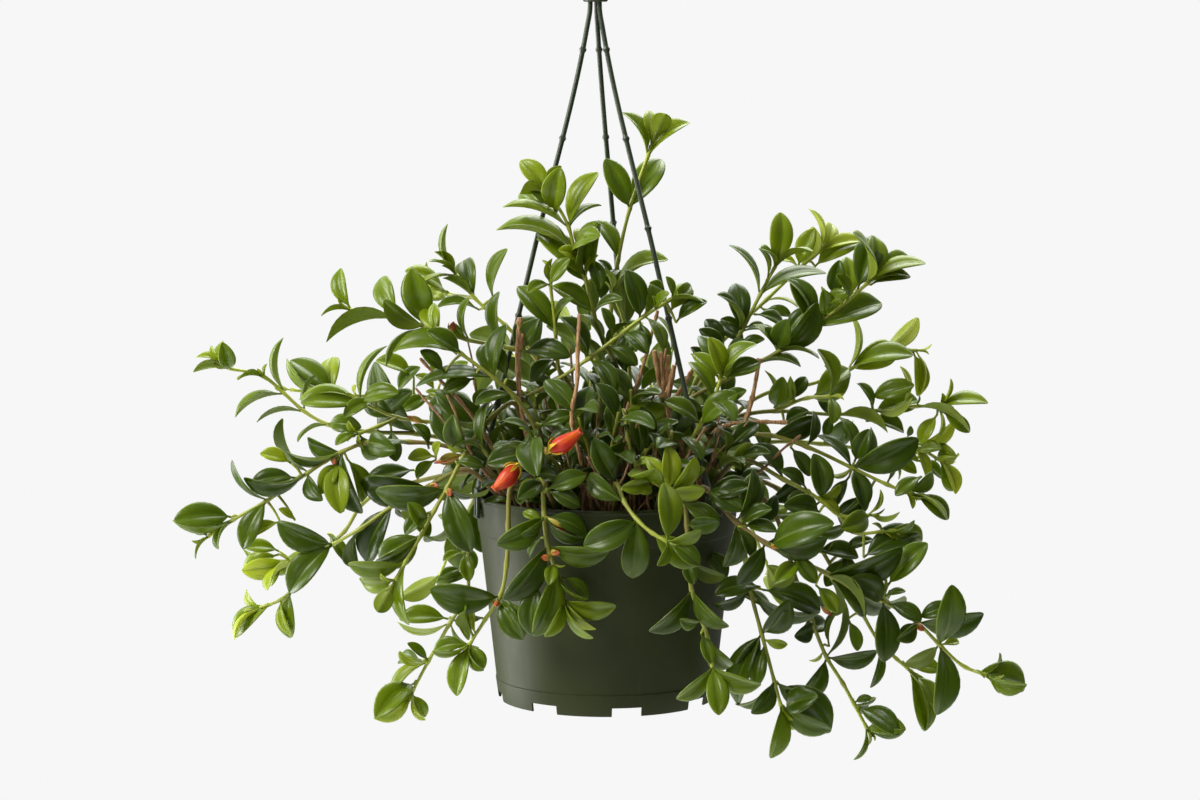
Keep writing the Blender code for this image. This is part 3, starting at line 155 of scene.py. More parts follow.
# A step of a stem longer than this gets a point in its middle, on a Catmull-Rom curve: nine
# sixteenths of both its ends, less a sixteenth of the points before and after
LONGEST_STEM_STEP = 32.0
NEAR_WEIGHT = 0.5625
FAR_WEIGHT = 0.0625

# Leaves: sizes in millimetres, and shares of a leaf's length or width
LEAF_STALK_LENGTH = 3.0
LEAF_STALK_RADIUS = 0.75
LEAF_WIDTH = 0.455
LEAF_BOW = 0.13
LEAF_FOLD = 0.32
LEAF_SIDE_BULGE = 0.13
BLADE_THICKNESS = 0.6
KEEL_THICKNESS = 0.55

# How the points of a leaf lie across it, from edge to edge, and along its blade, for a leaf of
# the size that shows well and for the smallest
LEAF_GRIDS = {
    "fine": ((-1.0, -0.87, -0.58, -0.26, 0.0, 0.26, 0.58, 0.87, 1.0),
             (0.0, 0.05, 0.12, 0.21, 0.32, 0.44, 0.56, 0.67, 0.77, 0.86, 0.93, 0.98)),
    "small": ((-1.0, -0.5, 0.0, 0.5, 1.0), (0.0, 0.1, 0.25, 0.45, 0.65, 0.83, 0.95)),
}
SMALLEST_FINE_LEAF = 9.0

# The drawing of the plant, stem by stem: the spot of a stem's root in the soil (right, forward),
# how much paler its leaves are than most (below zero, darker), which is partly their youth and
# partly painted light: the stems at the back are paler, standing for light from behind shining
# through them, and a shaded stem inside the crown is darker. Then come the joints of its main
# shoot from the root out, and any side shoots, each with the number of the joint that it grows
# from and its joints. A joint is where it shows on the plane through the pot's middle (across,
# up), how far forward of that plane it is, and its leaves. A leaf is where its tip shows (across,
# up), how far forward the tip leans, and how much of its upper side faces the viewer, from 1
# (all) through 0 (edge on) to -1 (the underside).
STEMS = {
    "left_high": ((-14, -6), 0.12, [(-28, 50, -8), (-45, 85, -12), (-61, 102, -14),
        (-80, 119, -18, (-99, 131, 8, 0.5), (-86, 142, -22, 0.8)),
        (-91, 133, -20, (-96, 164, 0, 0.3), (-107, 141, 14, 0.6), (-119, 122, 8, 0.25))],
        (3, [(-95, 121, -36, (-114, 121, -10, 0.3), (-107, 133, -16, 0.6))])),
    "left_upper": ((-8, 8), 0.12, [(-20, 62, 12), (-38, 83, 20), (-57, 88, 27, (-41, 107, -14, 0.8)),
        (-84, 93.5, 28, (-83, 119, 10, 0.5)),
        (-109, 101, 25, (-117, 138, 0, 0.5), (-135, 117, -8, 0.5), (-134, 77, 6, 0.3)),
        (-127, 107, 20, (-137, 131, -22, 0.9), (-170, 92, 4, 0.15)), (-145, 108, 18),
        (-155, 112, 16, (-161, 137, -10, 0.8), (-173, 108, 10, 0.5))]),
    "left_front_upper": ((-30, 30), 0.08, [(-46, 45, 36), (-57, 60, 40, (-80, 54, 8, 0.5)),
        (-68, 70, 43, (-61, 103, -6, 0.5), (-72, 92, -22, 0.9), (-116, 65, 2, 0.2)),
        (-88, 85, 45, (-109, 99, 10, 0.8), (-130, 86, -6, 0.3)), (-101, 96, 46, (-108, 114, -22, 0.9))]),
    "left_long": ((-48, -16), 0.1, [(-85, 28, -20), (-115, 36, -22, (-141, 80, -10, 0.7)),
        (-140, 37, -22, (-118, 62, -8, 0.4)), (-170, 42, -25, (-188, 31, 14, 0.5), (-149, 40, 12, 0.9)),
        (-184, 50, -28, (-213, 43, 6, 0.2), (-176, 72, -10, 0.2)),
        (-196, 61, -30, (-196, 95, -4, 0.1), (-226, 46, 4, 0.2)), (-208, 71, -30, (-224, 69, 14, 0.4)),
        (-229, 76, -30, (-234, 92, -16, 0.7), (-251, 74, 8, 0.3))]),
    "left_woody": ((-40, 0), 0, [(-75, 36, 2), (-105, 43, 4, (-96, 62, -16, 0.7)),
        (-127, 46, 6, (-147, 59, -16, 0.5)),
        (-150, 56, 5, (-187, 57, 0, 0.3), (-133, 90, -6, 0.3), (-126, 61, 14, 0.5))],
        (2, [(-138, 41, 15), (-151, 36, 22, (-137, 22, -10, 0.9), (-165, 29, 10, 0.6))])),
    "left_back": ((-40, -40), 0.3, [(-90, 52, -62), (-130, 58, -70),
        (-166, 60, -72, (-194, 82, 0, 0.5), (-166, 83, -22, 0.9)), (-192, 63, -74)]),
    "left_low": ((-50, 12), 0, [(-85, 24, 16), (-120, 31, 20, (-141, 22, 18, 0.7)),
        (-145, 31, 22, (-128, 26, 22, 0.9)),
        (-161, 25, 22, (-195, 25, 2, 0.4), (-182, 33, -16, 0.6), (-149, -13, 6, 0.8),
            (-160, -12, -12, -0.5)),
        (-182, 12, 22, (-197, 46, -4, 0.1), (-173, -5, 18, 0.8), (-221, 9, 6, 0.7)),
        (-207, -5, 22, (-228, 20, 12, 0.4), (-222, -35, 4, 0.9)),
        (-228, -17, 22, (-265, -17, 0, 0.5), (-237, -35, 16, 0.7)),
        (-243, -27, 22, (-254, -14, -12, 0.3), (-251, -41, 10, 0.5))]),
    "left_lower": ((-56, 28), -0.3, [(-85, 14, 34), (-108, 4, 37, (-150, 6, -4, 0.8)),
        (-130, -8, 39, (-147, -43, -6, 0.7), (-113, -14, -18, 0.5)),
        (-150, -22, 40, (-152, -46, -20, -0.6)),
        (-167, -32, 40, (-201, -18, 6, 0.9), (-194, -62, 4, 0.9))]),
    "left_back_low": ((-56, -30), 0.35, [(-90, 12, -45), (-125, 4, -56), (-148, -6, -62),
        (-160, -24, -64), (-176, -38, -66, (-222, -35, 0, 0.5), (-195, -20, -14, 0.6)), (-188, -55, -68),
        (-199, -66, -70, (-193, -88, 6, 0.7)),
        (-212, -71, -70, (-228, -91, 8, 0.5), (-220, -60, -12, 0.6))],
        (4, [(-192, -44, -56, (-223, -48, 4, 0.4), (-207, -60, 12, 0.6))])),
    "front_left": ((-42, 20), 0, [(-52, 42, 26), (-56, 55, 32), (-70, 46, 44, (-104, 62, -4, 0.9)),
        (-85, 26, 54, (-105, 54, -2, 0.9), (-93, 48, 16, 0.5)),
        (-97, 3, 62, (-141, 1, -4, 0.7), (-72, 2, -18, 0.3), (-83, -37, 4, 0.9)),
        (-105, -11, 65, (-124, -8, -22, -0.5)),
        (-113, -26, 68, (-141, -43, 0, 0.6), (-97, -22, -22, 0.4)),
        (-123, -43, 71, (-158, -44, 2, 0.7), (-121, -82, 4, 0.5)),
        (-129, -54, 72, (-140, -74, 12, 0.6), (-150, -55, -18, 0.6))],
        (1, [(-30, 69, 42), (-11, 82, 50, (-27, 107, 10, 0.4), (4, 61, 14, 0.7)),
            (10, 98, 54, (25, 85, 16, 0.9)), (23, 108, 56, (34, 88, 14, 0.5), (28, 129, -6, 0.6)),
            (36, 116, 56, (59, 116, 10, 0.4), (51, 127, -12, 0.4))])),
    "behind_pot_left": ((-48, -48), 0.35, [(-74, 4, -62), (-84, -30, -66), (-85, -62, -66),
        (-96, -81, -66, (-128, -80, 0, 0.2), (-78, -96, 14, 0.5)),
        (-109, -104, -66, (-127, -98, 16, 0.6), (-131, -129, 0, 0.3)),
        (-119, -123, -66, (-143, -140, 4, 0.7), (-111, -141, 12, 0.6))]),
    "pot_left": ((-44, 50), 0, [(-58, 3, 72), (-60, -20, 76), (-61, -44, 76),
        (-65, -64, 75, (-108, -60, 4, 0.9), (-51, -91, 10, 0.9)), (-74, -78, 74, (-88, -70, -14, 0.5)),
        (-84, -94, 74, (-107, -98, 10, 0.6), (-92, -126, 6, 0.9), (-75, -110, 12, 0.6))]),
    "pot_front_left": ((-28, 58), 0, [(-38, 6, 76, (-54, -4, 16, 0.8)),
        (-38, -14, 86, (-67, -32, 10, 0.9), (-14, -29, 10, 0.4), (-52, -26, 14, 0.6)),
        (-36, -33, 89, (-63, -66, 4, 0.8), (2, -36, 4, 0.8)),
        (-31, -48, 90, (-11, -66, 12, 0.6), (-44, -89, -4, 0.9)),
        (-26, -66, 90, (6, -70, 4, 0.8), (-38, -89, 12, 0.8), (-8, -90, 14, 0.7))]),
    "front_centre": ((4, 60), 0, [(6, 6, 78, (-8, 33, 6, 0.9)), (11, -6, 90, (-11, 11, -14, 0.8)),
        (19, -17, 100, (-14, -33, 4, 1.0), (16, -53, -4, 0.9)), (28, -25, 106, (57, -44, -8, 0.8)),
        (37, -30, 110, (35, 6, -2, 0.7), (58, -23, 10, 0.6), (31, -45, 14, 0.6))]),
    "front_bright": ((8, 22), 0.22, [(6, 40, 34), (10, 50, 40, (38, 51, 8, 0.8)),
        (13, 32, 56, (-4, 22, 10, 0.6)), (18, 17, 70, (30, 15, 20, 0.5)), (28, 7, 82, (9, 3, 12, 0.7)),
        (38, 1, 90, (37, 29, 4, 0.7), (54, 22, 10, 0.5), (60, 2, 12, 0.6), (24, 22, 0, 0.5))]),
    "pot_front_right": ((40, 56), 0, [(46, 4, 76), (49, -20, 86, (69, -18, 14, 0.9)),
        (50, -42, 88, (73, -52, -8, -0.7)), (52, -60, 88, (26, -86, 4, 0.8), (75, -83, 6, 0.8)),
        (58, -78, 87, (45, -78, 16, 0.5)), (62, -90, 86, (76, -108, -14, 0.7)),
        (65, -108, 85, (43, -128, 2, 0.8), (95, -119, 2, 0.8), (69, -138, 14, 0.9))]),
    "right_cascade": ((56, 40), -0.05, [(61, 2, 66, (85, 5, -12, 0.5), (84, -11, 16, 0.8)),
        (79, -18, 68, (89, 15, 4, 0.3), (72, -46, -8, 0.6)),
        (97, -31, 68, (119, -16, -12, 0.6), (135, -28, 4, 0.7), (80, -57, 4, 0.9)),
        (116, -41, 67, (116, -12, 10, 0.4), (101, -58, 10, -0.8)),
        (135, -50, 66, (139, -76, -14, -0.4), (158, -77, 8, 0.6), (181, -34, 4, 0.8)),
        (152, -60, 64, (182, -64, -12, -0.5)), (169, -67, 62, (170, -105, 6, 0.9), (150, -52, 18, 0.5)),
        (190, -80, 60, (231, -75, 0, 0.8), (178, -91, 18, 0.7)),
        (204, -94, 58, (211, -57, 2, 0.8), (203, -138, 4, 0.8), (183, -106, -10, -0.6)), (220, -108, 57),
        (233, -113, 57, (258, -119, 8, 0.8), (241, -99, -10, 0.4))]),
    "right_drooping": ((64, 26), -0.12, [(80, 4, 42), (84, -22, 46, (104, -2, -10, 0.8)), (85, -42, 46),
        (88, -60, 46, (65, -69, -10, 0.7), (131, -74, 2, 0.5)),
        (95, -87, 46, (80, -108, -6, 0.8), (112, -66, 6, 0.8)),
        (103, -117, 46, (89, -137, 12, 0.9), (131, -128, -6, 0.7), (79, -131, -12, 0.6)),
        (107, -132, 46, (138, -147, 2, 0.8), (101, -165, 4, 0.8))]),
    "right_hanging": ((70, 8), -0.12, [(98, -6, 20, (118, 8, -14, 0.8)), (110, -34, 22),
        (117, -57, 22, (142, -66, 14, 0.6)), (126, -80, 22, (115, -89, 22, 0.8)),
        (135, -102, 22, (166, -98, 4, 0.8), (120, -127, -4, 0.8), (143, -62, -4, 0.2)), (145, -118, 22),
        (152, -131, 22, (162, -127, -24, 0.5)),
        (160, -146, 22, (183, -148, 6, 0.7), (152, -166, 6, 0.6), (178, -143, -16, 0.6))]),
    "right_outer": ((70, -8), 0, [(105, 2, -6), (125, -24, -6, (147, -20, -10, 0.6)),
        (140, -50, -4, (160, -44, -14, 0.5)), (156, -74, -2, (173, -60, -14, 0.4)),
        (167, -92, 0, (162, -121, 4, 0.5)), (178, -103, 0),
        (185, -109, 0, (196, -148, 4, 0.4), (191, -131, -14, 0.4))]),
    "right_middle": ((50, 18), 0, [(78, 34, 26), (100, 35, 30, (127, 45, -12, 0.7)),
        (122, 28, 32, (126, 50, -14, 0.6)),
        (150, 15, 34, (190, 33, 6, 0.9), (157, -10, 16, 0.9), (128, 35, -8, 0.6), (161, 40, -14, 0.6)),
        (171, 5, 35, (172, 24, 4, 0.2)), (183, 0, 35, (199, 12, -12, 0.7), (208, -17, 6, 0.6))]),
    "right_level": ((42, -4), 0.2, [(62, 38, -6), (85, 48, -8, (96, 25, 14, 0.8)),
        (103, 50, -8, (112, 71, 12, -0.5), (96, 75, -6, 0.2)),
        (140, 48, -10, (171, 37, 6, 0.4), (150, 26, 14, 0.7)),
        (162, 50, -10, (186, 58, 8, 0.5), (152, 67, -10, 0.2)), (188, 53, -10, (221, 37, 4, 0.4)),
        (202, 53, -10, (232, 55, 4, 0.6), (201, 34, 8, 0.2))],
        (2, [(122, 58, 2, (148, 71, -8, -0.6)), (136, 59, 8, (128, 88, 4, 0.2), (137, 42, 16, 0.8))])),
    "right_back_upper": ((52, -36), 0.5, [(85, 54, -50), (118, 65, -56),
        (147, 75, -58, (147, 111, -4, 0.2), (176, 88, -10, 0.5)), (168, 87, -58, (189, 107, -4, -0.8)),
        (188, 87, -58, (190, 59, 6, 0.3))]),
    "right_back_middle": ((62, -26), 0.48, [(95, 30, -46), (130, 30, -58, (150, 44, -10, 0.6)),
        (160, 27, -62), (186, 29, -64, (212, 45, 0, 0.6), (195, 9, 6, 0.7)),
        (203, 20, -64, (213, -1, 4, 0.8), (214, 24, 12, 0.3))]),
    "right_high": ((30, 4), 0.16, [(45, 52, 8), (72, 69, 10, (56, 96, -10, 0.8)),
        (91, 79, 12, (118, 77, 8, 0.4)),
        (104, 86, 13, (129, 82, 14, 0.3), (89, 103, -16, 0.5), (128, 116, -8, 0.8)),
        (125, 101, 13, (108, 131, 2, 0.3), (130, 126, -10, -0.4), (167, 116, 0, 0.3)),
        (146, 117, 13, (145, 144, -10, 0.9), (139, 133, 14, 0.6)),
        (158, 128, 13, (161, 157, -12, 0.7), (149, 158, 6, 0.15), (193, 140, -4, 0.4),
            (184, 132, 12, 0.4))]),
    "right_upright": ((36, -14), 0, [(52, 58, -12), (72, 83, -14, (56, 100, 8, 0.8), (86, 92, 14, 0.8)),
        (82, 99, -14, (78, 128, -8, 0.9), (67, 121, 8, 0.3), (104, 96, 8, 0.4)),
        (93, 121, -14, (74, 151, 2, 0.2), (133, 134, -4, 0.3)),
        (102, 138, -14, (105, 171, -4, 0.9), (93, 149, 16, 0.2), (125, 147, 12, 0.3))]),
    "right_back_high": ((34, -44), 0.5, [(55, 70, -56), (78, 100, -62),
        (97, 118, -64, (116, 113, 10, 0.4)), (117, 137, -66, (125, 162, -6, -0.7), (101, 142, 8, 0.4)),
        (130, 148, -66, (156, 153, -4, 0.5), (122, 173, 2, 0.2), (136, 164, -16, 0.6))]),
    "front_right_bright": ((42, 40), 0.12, [(50, 28, 48),
        (57, 42, 54, (35, 56, 8, 0.5), (80, 61, 6, 0.8)),
        (65, 56, 57, (50, 80, -8, 0.4), (78, 44, 14, 0.6)),
        (69, 69, 58, (91, 91, 6, 0.6), (62, 95, 6, 0.8), (92, 79, -14, 0.6))]),
    "centre_tall": ((4, -16), 0.22, [(4, 50, -18), (3, 85, -17, (22, 104, -10, 0.6)), (3, 115, -16),
        (7, 142, -14, (-6, 166, -8, 0.4)), (14, 173, -9, (-1, 203, 4, 0.9), (33, 203, -6, 0.4)),
        (25, 205, -6, (9, 231, 0, 0.3), (50, 225, -4, 0.3)),
        (27, 211, -6, (36, 230, 8, -0.8), (26, 232, -12, 0.8))]),
    "centre_left_tall": ((10, 8), 0.18, [(12, 45, 8), (9, 70, 12, (-9, 76, 16, 0.9)),
        (0, 90, 15, (19, 78, 8, 0.9)), (-8, 110, 18, (-33, 126, 4, 0.8), (10, 118, 12, 0.5)),
        (-13, 131, 20, (-42, 158, 2, 0.6), (-6, 165, 4, 0.6)),
        (-19, 147, 22, (-67, 160, -2, 0.2), (-4, 156, 16, 0.6)),
        (-23, 162, 23, (-63, 174, 2, 0.2), (-5, 195, 0, 0.5), (-3, 175, -10, 0.2)),
        (-34, 182, 24, (-52, 202, -4, 0.9), (-28, 199, 8, -0.7), (-52, 183, 12, -0.8))]),
    "centre_left": ((-18, 12), 0, [(-24, 55, 16), (-30, 82, 18, (-46, 68, 8, 0.8)),
        (-31, 99, 19, (-54, 126, 0, 0.7), (-20, 119, 8, 0.5)),
        (-34, 127, 20, (-20, 144, -10, 0.6), (-48, 122, 14, 0.7))]),
    "centre_short": ((16, -12), 0, [(14, 70, -8), (12, 100, -2, (12, 137, 4, 0.7)),
        (4, 122, 2, (-6, 138, 12, 0.6), (37, 142, 0, 0.2))]),
    "right_shaded": ((54, 30), 0, [(80, 20, 36, (100, 24, 12, 0.8)), (108, 8, 40, (90, 30, -6, 0.8)),
        (131, -5, 42, (126, 24, 6, 0.9), (104, -14, -6, 0.8)), (142, -14, 42, (160, 1, -18, 0.6)),
        (160, -14, 42, (143, -22, 22, 0.9), (167, 2, 0, 0.2), (179, -12, 4, 0.6))],
        (3, [(150, -24, 44), (169, -24, 44, (188, -17, 6, 0.7), (193, -29, -16, 0.9))])),
    "front_inner_left": ((-20, 40), -0.25, [(-28, 14, 52),
        (-36, 24, 62, (-73, 18, 0, 0.8), (-22, 38, 10, 0.8)),
        (-44, 34, 64, (-62, 44, 10, 0.6), (-42, 10, 14, 0.8))]),
    "front_inner_right": ((26, 40), -0.1, [(24, 12, 48), (24, 26, 54, (21, 53, 6, 0.9), (44, 44, 2, 0.6)),
        (42, 34, 50, (58, 20, 4, 0.7), (60, 36, -6, 0.5))]),
}

# Stems of the far side, by rule: the spot of the root (right, forward), the turn that the stem
# takes (degrees, 0 towards the viewer), how far out it reaches and how high its tip is
FAR_STEMS = [
    ((-30, -56), -152, 178, 66), ((-22, -38), -162, 196, 8), ((-14, -62), -171, 128, -96),
    ((-6, -40), -176, 150, 92), ((2, -60), 178, 206, -38), ((14, -34), 172, 186, 44),
    ((16, -60), 167, 142, -100), ((24, -58), 158, 212, -8), ((40, -54), 147, 176, -66),
    ((-42, -26), -140, 160, -70),
]
FAR_JOINT_STEP = 40.0
FAR_LEAF_LENGTH = 38.0
FAR_LEAF_SPREAD = 58.0
FAR_TRIES = 16

# The bark: how many sides a twig has, how far apart its knots are and how long one is
TWIG_SIDES = 12
KNOT_SPACING = 14.0
KNOT_LENGTH = 1.5
KNOT_SIZE = 0.28
TWIG_TAPER = 0.18
BARK_CREASE = 55

# Cut woody twigs: their thickness, the points that they pass, root first, and the root's spot
TWIGS = {
    "cut_twig_left": (1.9, [[(-53, 62, 34), (-52.5, 107, 34)],
                            [(-52.8, 88, 34), (-49.5, 104, 33)]], (-38, 34)),
    "cut_twig_centre": (1.5, [[(-21, 50, 60), (-18, 66, 60), (-17.5, 86, 60), (-16.5, 109, 60)]],
                        (-8, 48)),
    "cut_twig_crown": (1.8, [[(34, 45, 30), (33, 86, 30)], [(34, 50, 30), (37.5, 84, 28)],
                             [(34, 47, 30), (41, 78, 32)], [(34, 55, 30), (29, 87, 31)]], (24, 26)),
    "cut_twig_right": (1.7, [[(40, 54, 22), (47, 66, 22), (54, 78, 22)]], (34, 18)),
    "dead_stem_right": (1.6, [[(62, 33, 20), (72, 41, 20), (84, 43, 20), (110, 43, 20)],
                              [(84, 43, 20), (87, 52, 20), (93, 82, 20)]], (52, 8)),
}

# Flowers: the joint of their stem that the stalk starts beside, a point that the stalk passes,
# the base of the pouch and its mouth
FLOWER_STEM = "front_inner_left"
FLOWERS = {
    "flower_upper": (1, (-37, 27, 77), (-34, 26, 84), (-15.5, 38, 88)),
    "flower_lower": (2, (-48, 26, 73), (-54, 16.5, 79), (-69, 2, 84)),
}
POUCH_BELLY = 5.2
POUCH_NECK = 1.7
POUCH_SAG = 1.2
POUCH_SIDES = 40
POUCH_RINGS = 30
POUCH_FOLDS = 5
STALK_RADIUS = 0.8
CALYX_LOBES = 5

# How the solids were tried until they were clear of each other: a stem further forward, and a
# leaf leant along the line of sight, swung aside or shorter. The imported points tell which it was.
DEPTH_SHIFTS = (0, 4, -4, 8, -8, 12, -12, 16, -16, 20, -20)
LEANS = (0.0, 5.0, -5.0, 10.0, -10.0, 16.0, -16.0, 22.0, -22.0)
SWINGS = (0.0, 9.0, -9.0, 18.0, -18.0)
SIZES = (1.0, 0.88, 0.76)
FOUND_WITHIN = 0.2

# Small leaves that the solids leave out: where one grows shows at (across, up), then where its
# tip or tips show
SMALL_LEAVES = [
    (-91, 133, -104, 147), (-95, 121, -109, 141, -105, 136), (-84, 93.5, -94, 104), (-101, 96, -104, 116),
    (-238, 79, -240, 90, -249, 83), (-207, 71, -206, 79, -212, 76), (-154, 59, -152, 66),
    (-151, 36, -157, 44, -148, 27, -150, 31), (-70, 45, -85, 42), (-84, 27, -97, 31),
    (-128, -54, -138, -50), (27, 118, 28, 120), (-34, 127, -39, 142, -33, 143), (-5, 135, -5, 145),
    (105, 142, 110, 144), (104, 88, 105, 98), (188, 53, 190, 60), (204, 54, 209, 70, 204, 61),
    (162, 50, 163, 42), (178, 66, 178, 78), (149, 14, 136, 11), (183, 0, 187, -10, 197, -2),
    (128, -6, 137, -4, 143, 5, 142, -13), (169, -24, 176, -29, 162, -19), (68, -10, 68, -22),
    (127, -38, 138, -31), (222, -108, 232, -115), (233, -113, 242, -124), (98, -90, 111, -94),
    (110, -137, 116, -147), (134, -98, 124, -104), (160, -146, 165, -154), (13, -22, 17, -31),
    (22, -15, 30, 5), (-41, 12, -48, 12), (-33, -44, -25, -45), (-22, -74, -5, -86), (-82, -88, -81, -72),
    (-84, -94, -85, -103), (-119, -123, -127, -140), (69, 69, 67, 84, 52, 85), (-12, 14, -24, 19, -4, 22),
]
LONGEST_SMALL_LEAF = 26.0

